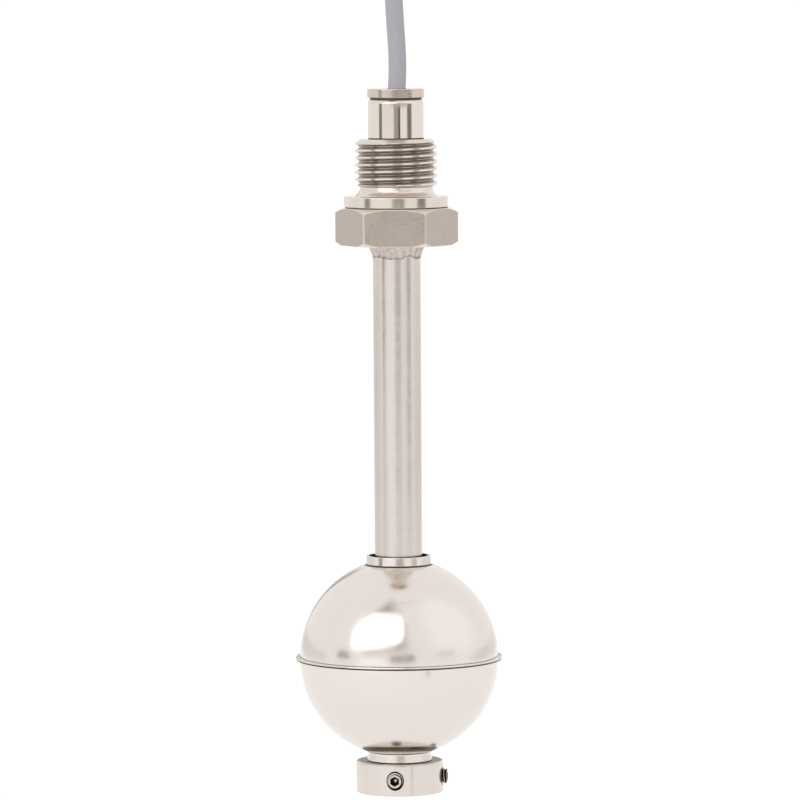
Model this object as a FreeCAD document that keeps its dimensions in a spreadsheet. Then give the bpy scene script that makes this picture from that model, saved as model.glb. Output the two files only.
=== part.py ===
import FreeCAD, Part
import math
import os
import re

import Sketcher

# Vertical float level switch with a G1/2 plug.
# Millimetres and degrees. The origin is on the thread's axis, in the plane of the sealing face; +Z is up,
# towards the cable, and -Y is the front. The stem and the float hang below the plug.

# ---------------------------------------------------------------------------------------------------
# Driving dimensions
# ---------------------------------------------------------------------------------------------------

SIZES = {
    # Plug, turned from hexagon bar. One corner of the hexagon stands hex_turn from the +X axis.
    "hex_across_flats": 27.0,
    "hex_height": 9.5,
    "hex_turn": -2.5,
    "hex_top_crown": 27.1,  # diameter where the 30 degree top chamfer starts
    "hex_bottom_crown": 28.0,
    "hex_chamfer_angle": 30.0,
    "disc_diameter": 26.2,
    "disc_thickness": 2.9,
    "disc_foot_fillet": 0.3,
    "disc_edge_chamfer": 0.2,
    # G1/2 thread, held as its crest cylinder between the run-out groove and the lead-in chamfer.
    "thread_diameter": 20.955,
    "thread_start": 2.9,
    "thread_top": 14.4,
    "thread_tip_diameter": 17.8,
    "thread_lead_in": 1.2,
    "groove_diameter": 18.3,
    "groove_low_edge": 1.9,
    "groove_high_edge": 2.3,
    "groove_foot_diameter": 20.8,
    "socket_depth": 8.0,  # the stem's socket in the underside of the hexagon
    "passage_diameter": 9.0,
    # Neck sleeve, pressed into the top of the plug.
    "sleeve_diameter": 14.0,
    "sleeve_wall": 1.5,
    "sleeve_seat_depth": 8.0,
    "sleeve_stand": 9.9,  # how far it stands above the thread
    "sleeve_edge_run": 0.4,
    "sleeve_edge_drop": 0.7,
    # Cable bush in the sleeve's mouth.
    "bush_flange_diameter": 14.35,
    "bush_flange_thickness": 2.2,
    "bush_groove_diameter": 13.2,
    "bush_groove_width": 0.5,
    "bush_spigot_length": 3.0,
    "bush_cable_play": 0.35,  # radial room round the cable
    "bush_edge_round": 0.15,
    "seal_thickness": 2.5,
    "resin_depth": 10.0,
    "jacket_in_resin": 4.0,
    # Stem.
    "stem_diameter": 12.0,
    "stem_wall": 1.0,
    "insertion_length": 151.5,  # sealing face to the stem's tip
    "stem_end_thickness": 2.5,
    "stem_end_chamfer": 0.3,
    "bead_width": 1.15,
    "bead_drop": 3.2,
    "bead_hollow": 8.0,  # radius of the weld's hollow face
    # Stop collar and its M4 set screws, 90 degrees apart, the pair turned by screw_turn.
    "collar_diameter": 22.0,
    "collar_height": 8.0,
    "collar_edge_chamfer": 0.3,
    "tip_projection": 0.5,  # stem below the collar
    "screw_turn": -6.2,
    "screw_drop": 4.0,  # screw axis below the collar's top
    "screw_diameter": 4.0,
    "screw_length": 6.1,
    "screw_point_diameter": 2.5,
    "screw_end_chamfer": 0.2,
    "screw_socket_flats": 2.0,
    "screw_socket_depth": 2.5,
    "screw_mouth_chamfer": 0.4,
    # Float: two pressed half shells on a tube.
    "float_diameter": 50.2,
    "float_wall": 0.3,
    "float_height": 52.0,  # lip to lip
    "lip_height": 2.24,  # straight part of each lip, above the root where it leaves the ball
    "float_rest_gap": 0.1,  # over the collar, when the float is down
    "bore_tube_wall": 0.4,
    "bore_play": 1.4,  # radial room between the float's tube and the stem
    "lip_root_fillet": 0.6,
    "lip_edge_round": 0.15,
    "seam_flange_width": 0.75,
    "seam_weld_height": 0.84,
    "seam_weld_bulge": 0.3,
    # Magnet and its clips in the float.
    "magnet_diameter": 23.0,
    "magnet_height": 8.0,
    "magnet_play": 0.1,
    "magnet_edge_chamfer": 0.5,
    "clip_diameter": 20.0,
    "clip_thickness": 0.5,
    # Reed contact on its strip in the stem.
    "carrier_width": 9.6,
    "carrier_thickness": 1.0,
    "carrier_length": 69.0,
    "reed_diameter": 2.7,
    "reed_length": 14.0,
    "reed_centre_height": 17.0,  # above the centre of the float at rest
    "reed_lead_diameter": 0.6,
    "reed_lead_length": 7.0,
    # Cable: jacket, two cores.
    "cable_diameter": 4.5,
    "core_diameter": 1.4,
    "core_spacing": 1.7,
    "strand_diameter": 0.8,
    "strand_length": 5.0,
    "core_strip_length": 15.0,
    # Put-away length: a hank behind the float's path, wound in layers and lanes and tied at its waist.
    "hank_layers": 2,
    "hank_lanes": 2,
    "hank_fold_radius": 13.5,
    "hank_run": 70.0,
    "hank_front": 30.0,  # distance of its front face behind the axis
    "hank_middle": -40.0,  # height of its middle
    "tie_width": 8.0,
    "tie_thickness": 0.8,
    "tail_length": 25.0,
}

# Points of the cable's route from the end of its jacket in the resin to the top of the hank. They were
# chosen by hand: out of the bush with a slight lean, over in one arch, and down behind the rising run.
CABLE_ROUTE = [
    (0.0, 0.0, 14.8),
    (0.0, 0.0, 23.5),
    (0.6, 0.0, 33.0),
    (-0.15, 0.0, 44.5),
    (-1.0, 0.0, 61.0),
    (-1.1, 11.8, 77.3),
    (-1.1, 31.0, 83.5),
    (-1.1, 50.2, 77.3),
    (-1.0, 62.0, 61.0),
    (-0.15, 62.2, 44.5),
    (0.3, 62.0, 32.0),
    (-1.0, 62.3, 20.5),
    (-1.5, 62.0, 6.0),
]

doc = FreeCAD.newDocument("FloatLevelSwitch")
sheet = doc.addObject("Spreadsheet::Sheet", "Sizes")
for row, (name, size) in enumerate(SIZES.items(), start=1):
    sheet.set(f"A{row}", name)
    sheet.set(f"B{row}", str(size))
    sheet.setAlias(f"B{row}", name)
doc.recompute()


# ---------------------------------------------------------------------------------------------------
# Shared steps: formulas, profiles, turned bodies
# ---------------------------------------------------------------------------------------------------

# Heights that several pieces share, each written once as a formula on the sheet.
HEX_TOP = "(-disc_thickness)"
HEX_BOTTOM = "(-disc_thickness - hex_height)"
SOCKET_FLOOR = f"({HEX_BOTTOM} + socket_depth)"
SLEEVE_SEAT = "(thread_top - sleeve_seat_depth)"
SLEEVE_TOP = "(thread_top + sleeve_stand)"
SPIGOT_END = f"({SLEEVE_TOP} - bush_spigot_length)"
SEAL_BOTTOM = f"({SPIGOT_END} - seal_thickness)"
RESIN_BOTTOM = f"({SEAL_BOTTOM} - resin_depth)"
JACKET_END = f"({SEAL_BOTTOM} - jacket_in_resin)"
STEM_TIP = "(-insertion_length)"
STEM_END_TOP = f"({STEM_TIP} + stem_end_thickness)"
CARRIER_TOP = f"({STEM_END_TOP} + carrier_length)"
COLLAR_BOTTOM = f"({STEM_TIP} + tip_projection)"
COLLAR_TOP = f"({COLLAR_BOTTOM} + collar_height)"
SCREW_HEIGHT = f"({COLLAR_TOP} - screw_drop)"
FLOAT_BOTTOM = f"({COLLAR_TOP} + float_rest_gap)"
FLOAT_TOP = f"({FLOAT_BOTTOM} + float_height)"
FLOAT_CENTRE = f"({FLOAT_BOTTOM} + float_height / 2)"
REED_CENTRE = f"({FLOAT_CENTRE} + reed_centre_height)"
STEM_BORE = "(stem_diameter / 2 - stem_wall)"
FLOAT_BORE = "(stem_diameter / 2 + bore_play)"
TUBE_RADIUS = f"({FLOAT_BORE} + bore_tube_wall)"
LIP_RADIUS = f"({TUBE_RADIUS} + float_wall)"
SHELL_RADIUS = "(float_diameter / 2)"
LIP_ROOT = "(float_height / 2 - lip_height)"  # above the seam
# Each half of the ball is part of a sphere through the seam's corner and the lip's root. Its centre lies on
# the axis, BALL_SHIFT beyond the seam, which is nothing when the float is a true ball.
BALL_SHIFT = (
    f"(({LIP_ROOT} * {LIP_ROOT} + {LIP_RADIUS} * {LIP_RADIUS} - {SHELL_RADIUS} * {SHELL_RADIUS})"
    f" / (2 * {LIP_ROOT}))"
)
BALL_RADIUS = f"sqrt({SHELL_RADIUS} * {SHELL_RADIUS} + {BALL_SHIFT} * {BALL_SHIFT})"
BALL_BORE = f"({BALL_RADIUS} - float_wall)"
FLANGE_RADIUS = f"({SHELL_RADIUS} + seam_flange_width)"
SLEEVE_BORE = "(sleeve_diameter / 2 - sleeve_wall)"
REED_Y = "(-carrier_thickness / 2 - reed_diameter / 2)"
HANK_OUTER = "(hank_fold_radius - cable_diameter / 2 + hank_layers * cable_diameter)"
HANK_INNER = "(hank_fold_radius - cable_diameter / 2)"
HANK_AXIS = f"(hank_front + {HANK_OUTER})"
HANK_HALF_WIDTH = "(hank_lanes * cable_diameter / 2)"
HANK_BAND_MIDDLE = f"(({HANK_OUTER} + {HANK_INNER}) / 2)"


def bound(formula):
    """The formula with each size's name written as a reference to the sheet."""
    return re.sub(r"[a-z_]+", lambda word: "Sizes." + word[0] if word[0] in SIZES else word[0], formula)


def number(formula):
    """The formula's present value."""
    result = sheet.evalExpression(bound(formula))
    return float(getattr(result, "Value", result))


def new_body(label):
    body = doc.addObject("PartDesign::Body", label)
    body.Label = label
    body.Placement = FreeCAD.Placement()
    return body


def new_sketch(body, plane, name, offset=None):
    """A sketch on one of the body's origin planes, moved along its normal by a formula."""
    sketch = body.newObject("Sketcher::SketchObject", name)
    origin_plane = [part for part in body.Origin.OriginFeatures if part.Role == plane][0]
    sketch.AttachmentSupport = (origin_plane, [""])
    sketch.MapMode = "FlatFace"
    if offset:
        sketch.setExpression("AttachmentOffset.Base.z", bound(offset))
    return sketch


def lock(sketch, kind, line, end, formula):
    """Set one coordinate of a line's end from the sheet."""
    if formula == "0":
        sketch.addConstraint(Sketcher.Constraint("PointOnObject", line, end, -2 if kind == "DistanceX" else -1))
        return
    index = sketch.addConstraint(Sketcher.Constraint(kind, -1, 1, line, end, number(formula)))
    sketch.setExpression(f"Constraints[{index}]", bound(formula))


def closed_profile(sketch, corners, arcs=None):
    """A closed outline through corners given as pairs of formulas.

    arcs turns the side that starts at a corner into an arc of the given radius; side is +1 where its
    centre lies to the left of the way from corner to corner, and -1 where it lies to the right.
    """
    arcs = arcs or {}
    places = [FreeCAD.Vector(number(x), number(y), 0) for x, y in corners]
    ends = []
    for index, here in enumerate(places):
        there = places[(index + 1) % len(places)]
        if index not in arcs:
            line = sketch.addGeometry(Part.LineSegment(here, there), False)
            ends.append((line, 1, 2))
            continue
        radius_formula, side = arcs[index]
        radius = number(radius_formula)
        chord = there - here
        rise = math.sqrt(max(radius**2 - chord.Length**2 / 4, 0))
        left = FreeCAD.Vector(-chord.y, chord.x, 0).normalize()
        centre = (here + there) * 0.5 + left * (rise * side)
        first, last = (here, there) if side > 0 else (there, here)
        start = math.atan2(first.y - centre.y, first.x - centre.x)
        stop = math.atan2(last.y - centre.y, last.x - centre.x)
        circle = Part.Circle(centre, FreeCAD.Vector(0, 0, 1), radius)
        arc = sketch.addGeometry(Part.ArcOfCircle(circle, start, stop), False)
        bend = sketch.addConstraint(Sketcher.Constraint("Radius", arc, radius))
        sketch.setExpression(f"Constraints[{bend}]", bound(radius_formula))
        ends.append((arc, 1, 2) if side > 0 else (arc, 2, 1))
    for index, (line, begin, finish) in enumerate(ends):
        follower, follower_begin, _ = ends[(index + 1) % len(ends)]
        sketch.addConstraint(Sketcher.Constraint("Coincident", line, finish, follower, follower_begin))
        lock(sketch, "DistanceX", line, begin, corners[index][0])
        lock(sketch, "DistanceY", line, begin, corners[index][1])


def add_turned(body, sketch, axis="V_Axis", kind="PartDesign::Revolution", name="Turned"):
    """A full turn of the sketch about one of its axes, added to the body or, as a Groove, cut from it."""
    turned = body.newObject(kind, name)
    turned.Profile = sketch
    turned.ReferenceAxis = (sketch, [axis])
    turned.Angle = 360
    body.Tip = turned
    return turned


def turned_body(label, corners, arcs=None):
    """A body turned about the Z axis from one outline of (radius, height) corners."""
    body = new_body(label)
    sketch = new_sketch(body, "XZ_Plane", label + "_profile")
    closed_profile(sketch, corners, arcs)
    add_turned(body, sketch, name=label + "_turned")
    doc.recompute()
    return body


def groove(body, name, corners, arcs=None):
    """Cut a turned outline of (radius, height) corners from the body."""
    before = body.Shape.Volume
    sketch = new_sketch(body, "XZ_Plane", name + "_profile")
    closed_profile(sketch, corners, arcs)
    add_turned(body, sketch, kind="PartDesign::Groove", name=name)
    doc.recompute()
    if body.Shape.Volume >= before:
        raise RuntimeError(f"{name} cut nothing")


def circles(shape, radius_formula, height_formula):
    """Names of the shape's edges that are circles about the Z axis of this radius, at this height."""
    radius, height = number(radius_formula), number(height_formula)
    return [
        f"Edge{index}"
        for index, edge in enumerate(shape.Edges, start=1)
        if isinstance(edge.Curve, Part.Circle)
        and abs(edge.Curve.Radius - radius) < 1e-4
        and abs(edge.Curve.Center.z - height) < 1e-4
        and math.hypot(edge.Curve.Center.x, edge.Curve.Center.y) < 1e-4
    ]


def round_edges(body, name, edges, radius_formula):
    """Fillet the named edges of the body's last feature."""
    base = body.Tip
    fillet = body.newObject("PartDesign::Fillet", name)
    fillet.Base = (base, edges)
    fillet.setExpression("Radius", bound(radius_formula))
    body.Tip = fillet
    doc.recompute()


def hexagon(sketch, flats_formula, turn_formula="0"):
    """A hexagon about the sketch's origin, one corner at the given angle from its first axis."""
    closed_profile(
        sketch,
        [
            (
                f"{flats_formula} / sqrt(3) * cos(({60 * corner} + {turn_formula}) * 1deg)",
                f"{flats_formula} / sqrt(3) * sin(({60 * corner} + {turn_formula}) * 1deg)",
            )
            for corner in range(6)
        ],
    )


# ---------------------------------------------------------------------------------------------------
# Plug
# ---------------------------------------------------------------------------------------------------


def make_plug_body():
    """Hexagon, sealing disc, run-out groove and thread, bored through for the stem and the sleeve."""
    body = new_body("plug_body")
    outline = new_sketch(body, "XY_Plane", "hexagon", HEX_BOTTOM)
    hexagon(outline, "hex_across_flats", "hex_turn")
    pad = body.newObject("PartDesign::Pad", "hexagon_bar")
    pad.Profile = outline
    pad.setExpression("Length", bound("hex_height"))
    body.Tip = pad
    doc.recompute()

    reach = "hex_across_flats"
    slope = "tan(hex_chamfer_angle * 1deg)"
    for end, crown, height, way in (
        ("top", "hex_top_crown / 2", HEX_TOP, "-"),
        ("bottom", "hex_bottom_crown / 2", HEX_BOTTOM, "+"),
    ):
        groove(
            body,
            f"hexagon_{end}_chamfer",
            [
                (crown, height),
                (reach, height),
                (reach, f"{height} {way} ({reach} - {crown}) * {slope}"),
            ],
        )

    profile = new_sketch(body, "XZ_Plane", "disc_and_thread")
    closed_profile(
        profile,
        [
            ("0", HEX_TOP),
            ("disc_diameter / 2", HEX_TOP),
            ("disc_diameter / 2", "-disc_edge_chamfer"),
            ("disc_diameter / 2 - disc_edge_chamfer", "0"),
            ("groove_foot_diameter / 2", "0"),
            ("groove_diameter / 2", "groove_low_edge"),
            ("groove_diameter / 2", "groove_high_edge"),
            ("thread_diameter / 2", "thread_start"),
            ("thread_diameter / 2", "thread_top - thread_lead_in"),
            ("thread_tip_diameter / 2", "thread_top"),
            ("0", "thread_top"),
        ],
    )
    add_turned(body, profile, name="disc_and_thread_turned")
    doc.recompute()

    groove(
        body,
        "stepped_bore",
        [
            ("0", HEX_BOTTOM),
            ("stem_diameter / 2", HEX_BOTTOM),
            ("stem_diameter / 2", SOCKET_FLOOR),
            ("passage_diameter / 2", SOCKET_FLOOR),
            ("passage_diameter / 2", SLEEVE_SEAT),
            ("sleeve_diameter / 2", SLEEVE_SEAT),
            ("sleeve_diameter / 2", "thread_top"),
            ("0", "thread_top"),
        ],
    )
    round_edges(
        body, "disc_foot", circles(body.Shape, "disc_diameter / 2", HEX_TOP), "disc_foot_fillet"
    )


def make_neck_sleeve():
    """Polished tube on its seat in the plug, with a slanted upper edge."""
    turned_body(
        "neck_sleeve",
        [
            (SLEEVE_BORE, SLEEVE_SEAT),
            ("sleeve_diameter / 2", SLEEVE_SEAT),
            ("sleeve_diameter / 2", f"{SLEEVE_TOP} - sleeve_edge_drop"),
            ("sleeve_diameter / 2 - sleeve_edge_run", SLEEVE_TOP),
            (SLEEVE_BORE, SLEEVE_TOP),
        ],
    )


def make_cable_bush():
    """Flange, groove and spigot, bored for the cable."""
    flange_foot = f"{SLEEVE_TOP} + bush_groove_width"
    flange_top = f"{flange_foot} + bush_flange_thickness"
    bore = "cable_diameter / 2 + bush_cable_play"
    body = turned_body(
        "cable_bush",
        [
            (bore, SPIGOT_END),
            (SLEEVE_BORE, SPIGOT_END),
            (SLEEVE_BORE, SLEEVE_TOP),
            ("bush_groove_diameter / 2", SLEEVE_TOP),
            ("bush_groove_diameter / 2", flange_foot),
            ("bush_flange_diameter / 2", flange_foot),
            ("bush_flange_diameter / 2", flange_top),
            (bore, flange_top),
        ],
    )
    rims = circles(body.Shape, "bush_flange_diameter / 2", flange_top)
    rims += circles(body.Shape, "bush_flange_diameter / 2", flange_foot)
    round_edges(body, "bush_rims", rims, "bush_edge_round")


def make_cable_seal():
    """Rubber ring that grips the cable under the bush."""
    turned_body(
        "cable_seal",
        [
            ("cable_diameter / 2", SEAL_BOTTOM),
            (SLEEVE_BORE, SEAL_BOTTOM),
            (SLEEVE_BORE, SPIGOT_END),
            ("cable_diameter / 2", SPIGOT_END),
        ],
    )


def make_resin_fill():
    """Potting in the sleeve, round the end of the jacket and the two cores."""
    body = turned_body(
        "resin_fill",
        [
            ("0", RESIN_BOTTOM),
            (SLEEVE_BORE, RESIN_BOTTOM),
            (SLEEVE_BORE, SEAL_BOTTOM),
            ("cable_diameter / 2", SEAL_BOTTOM),
            ("cable_diameter / 2", JACKET_END),
            ("0", JACKET_END),
        ],
    )
    before = body.Shape.Volume
    core_holes = new_sketch(body, "XY_Plane", "core_holes", JACKET_END)
    for side in ("-", "+"):
        centre_x = f"{side}core_spacing / 2"
        hole = core_holes.addGeometry(
            Part.Circle(
                FreeCAD.Vector(number(centre_x), 0, 0), FreeCAD.Vector(0, 0, 1), number("core_diameter / 2")
            ),
            False,
        )
        lock(core_holes, "DistanceX", hole, 3, centre_x)
        lock(core_holes, "DistanceY", hole, 3, "0")
        width = core_holes.addConstraint(Sketcher.Constraint("Diameter", hole, number("core_diameter")))
        core_holes.setExpression(f"Constraints[{width}]", bound("core_diameter"))
    pocket = body.newObject("PartDesign::Pocket", "core_passages")
    pocket.Profile = core_holes
    pocket.setExpression("Length", bound("resin_depth"))
    body.Tip = pocket
    doc.recompute()
    if body.Shape.Volume >= before:
        raise RuntimeError("core_passages cut nothing")


# ---------------------------------------------------------------------------------------------------
# Stem
# ---------------------------------------------------------------------------------------------------


def make_stem_tube():
    """Tube from the plug's socket to the tip."""
    turned_body(
        "stem_tube",
        [
            (STEM_BORE, STEM_TIP),
            ("stem_diameter / 2 - stem_end_chamfer", STEM_TIP),
            ("stem_diameter / 2", f"{STEM_TIP} + stem_end_chamfer"),
            ("stem_diameter / 2", SOCKET_FLOOR),
            (STEM_BORE, SOCKET_FLOOR),
        ],
    )


def make_weld_bead():
    """Hollow fillet weld in the corner between the hexagon's underside and the stem."""
    turned_body(
        "weld_bead",
        [
            ("stem_diameter / 2", HEX_BOTTOM),
            ("stem_diameter / 2", f"{HEX_BOTTOM} - bead_drop"),
            ("stem_diameter / 2 + bead_width", HEX_BOTTOM),
        ],
        {1: ("bead_hollow", -1)},
    )


def make_stem_end_disc():
    """Disc welded into the stem's tip."""
    turned_body(
        "stem_end_disc",
        [
            ("0", STEM_TIP),
            (STEM_BORE, STEM_TIP),
            (STEM_BORE, STEM_END_TOP),
            ("0", STEM_END_TOP),
        ],
    )


# ---------------------------------------------------------------------------------------------------
# Stop collar and set screws
# ---------------------------------------------------------------------------------------------------


def turn_with_screws(body, quarter_turns):
    """Turn a body that was made along +X about the stem, to its place in the pair of screws."""
    body.Placement = FreeCAD.Placement(
        FreeCAD.Vector(0, 0, 0),
        FreeCAD.Rotation(FreeCAD.Vector(0, 0, 1), number("screw_turn") - 90 * quarter_turns),
    )
    body.setExpression("Placement.Rotation.Angle", bound(f"(screw_turn - {90 * quarter_turns}) * 1deg"))


def make_stop_collar():
    """Ring with two radial screw holes, each with a chamfered mouth."""
    body = turned_body(
        "stop_collar",
        [
            ("stem_diameter / 2", COLLAR_BOTTOM),
            ("collar_diameter / 2 - collar_edge_chamfer", COLLAR_BOTTOM),
            ("collar_diameter / 2", f"{COLLAR_BOTTOM} + collar_edge_chamfer"),
            ("collar_diameter / 2", f"{COLLAR_TOP} - collar_edge_chamfer"),
            ("collar_diameter / 2 - collar_edge_chamfer", COLLAR_TOP),
            ("stem_diameter / 2", COLLAR_TOP),
        ],
    )
    before = body.Shape.Volume
    profile = new_sketch(body, "XY_Plane", "screw_hole_profile", SCREW_HEIGHT)
    closed_profile(
        profile,
        [
            ("stem_diameter / 4", "0"),
            ("collar_diameter", "0"),
            ("collar_diameter", "screw_diameter / 2 + screw_mouth_chamfer + collar_diameter / 2"),
            ("collar_diameter / 2 - screw_mouth_chamfer", "screw_diameter / 2"),
            ("stem_diameter / 4", "screw_diameter / 2"),
        ],
    )
    hole = add_turned(body, profile, "H_Axis", "PartDesign::Groove", "screw_hole")
    doc.recompute()
    one_hole = before - body.Shape.Volume
    pattern = body.newObject("PartDesign::PolarPattern", "screw_holes")
    pattern.Originals = [hole]
    pattern.Axis = ([part for part in body.Origin.OriginFeatures if part.Role == "Z_Axis"][0], [""])
    pattern.Angle = 90
    pattern.Occurrences = 2
    pattern.Reversed = True
    body.Tip = pattern
    turn_with_screws(body, 0)
    doc.recompute()
    if one_hole <= 0 or before - body.Shape.Volume < 1.9 * one_hole:
        raise RuntimeError("the collar lacks a screw hole")


def make_set_screw(label, quarter_turns):
    """Socket set screw whose point bears on the stem."""
    body = new_body(label)
    head = "stem_diameter / 2 + screw_length"
    profile = new_sketch(body, "XY_Plane", label + "_profile", SCREW_HEIGHT)
    closed_profile(
        profile,
        [
            ("stem_diameter / 2", "0"),
            (head, "0"),
            (head, "screw_diameter / 2 - screw_end_chamfer"),
            (f"{head} - screw_end_chamfer", "screw_diameter / 2"),
            ("stem_diameter / 2 + (screw_diameter - screw_point_diameter) / 2", "screw_diameter / 2"),
            ("stem_diameter / 2", "screw_point_diameter / 2"),
        ],
    )
    add_turned(body, profile, "H_Axis", name=label + "_turned")
    doc.recompute()
    before = body.Shape.Volume
    socket = new_sketch(body, "YZ_Plane", label + "_socket", head)
    closed_profile(
        socket,
        [
            (
                f"screw_socket_flats / sqrt(3) * cos({60 * corner}deg)",
                f"{SCREW_HEIGHT} + screw_socket_flats / sqrt(3) * sin({60 * corner}deg)",
            )
            for corner in range(6)
        ],
    )
    pocket = body.newObject("PartDesign::Pocket", label + "_socket_pocket")
    pocket.Profile = socket
    pocket.setExpression("Length", bound("screw_socket_depth"))
    body.Tip = pocket
    turn_with_screws(body, quarter_turns)
    doc.recompute()
    if body.Shape.Volume >= before:
        raise RuntimeError(f"{label} has no socket")


# ---------------------------------------------------------------------------------------------------
# Float
# ---------------------------------------------------------------------------------------------------


def make_float_shell(label, way):
    """Pressed half ball: seam flange, ball of even wall, lip turned out along the bore tube.

    way is "+" for the upper shell and "-" for the lower one.
    """
    side = 1 if way == "+" else -1
    lip_end = FLOAT_TOP if way == "+" else FLOAT_BOTTOM
    above_seam = f"{FLOAT_CENTRE} {way} "
    seam_bore = f"sqrt({BALL_BORE} * {BALL_BORE} - {BALL_SHIFT} * {BALL_SHIFT})"
    over_flange = f"(float_wall - {BALL_SHIFT})"
    flange_root = f"sqrt({BALL_RADIUS} * {BALL_RADIUS} - {over_flange} * {over_flange})"
    inner_root = f"({BALL_SHIFT} + sqrt({BALL_BORE} * {BALL_BORE} - {TUBE_RADIUS} * {TUBE_RADIUS}))"
    body = turned_body(
        label,
        [
            (seam_bore, FLOAT_CENTRE),
            (FLANGE_RADIUS, FLOAT_CENTRE),
            (FLANGE_RADIUS, above_seam + "float_wall"),
            (flange_root, above_seam + "float_wall"),
            (LIP_RADIUS, above_seam + LIP_ROOT),
            (LIP_RADIUS, lip_end),
            (TUBE_RADIUS, lip_end),
            (TUBE_RADIUS, above_seam + inner_root),
        ],
        {3: (BALL_RADIUS, side), 7: (BALL_BORE, -side)},
    )
    lip_root = circles(body.Shape, LIP_RADIUS, above_seam + LIP_ROOT)
    round_edges(body, label + "_lip_root", lip_root, "lip_root_fillet")
    lip_rim = circles(body.Shape, LIP_RADIUS, lip_end)
    round_edges(body, label + "_lip_rim", lip_rim, "lip_edge_round")


def make_float_bore_tube():
    """Tube through the float, flush with both lips."""
    turned_body(
        "float_bore_tube",
        [
            (FLOAT_BORE, FLOAT_BOTTOM),
            (TUBE_RADIUS, FLOAT_BOTTOM),
            (TUBE_RADIUS, FLOAT_TOP),
            (FLOAT_BORE, FLOAT_TOP),
        ],
    )


def make_float_seam_weld():
    """Weld ring round the edges of the two flanges, with a bulging outer face."""
    half = "seam_weld_height / 2"
    turned_body(
        "float_seam_weld",
        [
            (FLANGE_RADIUS, f"{FLOAT_CENTRE} - {half}"),
            (FLANGE_RADIUS, f"{FLOAT_CENTRE} + {half}"),
        ],
        {0: (f"({half} * {half} + seam_weld_bulge * seam_weld_bulge) / (2 * seam_weld_bulge)", 1)},
    )


def make_ring_magnet():
    """Ring round the float's tube, loose by magnet_play all round."""
    half = "magnet_height / 2"
    turned_body(
        "ring_magnet",
        [
            (f"{TUBE_RADIUS} + magnet_play", f"{FLOAT_CENTRE} - {half}"),
            ("magnet_diameter / 2 - magnet_edge_chamfer", f"{FLOAT_CENTRE} - {half}"),
            ("magnet_diameter / 2", f"{FLOAT_CENTRE} - {half} + magnet_edge_chamfer"),
            ("magnet_diameter / 2", f"{FLOAT_CENTRE} + {half} - magnet_edge_chamfer"),
            ("magnet_diameter / 2 - magnet_edge_chamfer", f"{FLOAT_CENTRE} + {half}"),
            (f"{TUBE_RADIUS} + magnet_play", f"{FLOAT_CENTRE} + {half}"),
        ],
    )


def make_magnet_clip(label, way):
    """Spring ring pressed on the float's tube, over or under the magnet."""
    near = f"{FLOAT_CENTRE} {way} (magnet_height / 2 + magnet_play)"
    far = f"{near} {way} clip_thickness"
    turned_body(
        label,
        [
            (TUBE_RADIUS, near),
            ("clip_diameter / 2", near),
            ("clip_diameter / 2", far),
            (TUBE_RADIUS, far),
        ],
    )


# ---------------------------------------------------------------------------------------------------
# Reed contact
# ---------------------------------------------------------------------------------------------------


def make_reed_carrier():
    """Strip that stands on the stem's end disc and holds the reed in the middle of the stem."""
    strip = doc.addObject("Part::Box", "reed_carrier")
    strip.Label = "reed_carrier"
    strip.setExpression("Length", bound("carrier_width"))
    strip.setExpression("Width", bound("carrier_thickness"))
    strip.setExpression("Height", bound("carrier_length"))
    strip.setExpression("Placement.Base.x", bound("-carrier_width / 2"))
    strip.setExpression("Placement.Base.y", bound("-carrier_thickness / 2"))
    strip.setExpression("Placement.Base.z", bound(STEM_END_TOP))


def make_rod(label, radius, length, x, y, foot):
    """Upright round rod with its lower end at foot."""
    rod = doc.addObject("Part::Cylinder", label)
    rod.Label = label
    rod.setExpression("Radius", bound(radius))
    rod.setExpression("Height", bound(length))
    rod.setExpression("Placement.Base.x", bound(x))
    rod.setExpression("Placement.Base.y", bound(y))
    rod.setExpression("Placement.Base.z", bound(foot))
    doc.recompute()


def make_reed():
    """Glass tube against the strip, with a lead out of each end."""
    low_end = f"{REED_CENTRE} - reed_length / 2"
    make_rod("reed_glass", "reed_diameter / 2", "reed_length", "0", REED_Y, low_end)
    for label, foot in (
        ("reed_lead_upper", f"{REED_CENTRE} + reed_length / 2"),
        ("reed_lead_lower", f"{low_end} - reed_lead_length"),
    ):
        make_rod(label, "reed_lead_diameter / 2", "reed_lead_length", "0", REED_Y, foot)


def make_cores():
    """The cable's two cores, from the end of its jacket to the top of the strip."""
    for label, side in (("core_brown", "-"), ("core_blue", "+")):
        make_rod(
            label,
            "core_diameter / 2",
            f"{JACKET_END} - {CARRIER_TOP}",
            f"{side}core_spacing / 2",
            "0",
            CARRIER_TOP,
        )


# ---------------------------------------------------------------------------------------------------
# Cable
# ---------------------------------------------------------------------------------------------------


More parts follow.
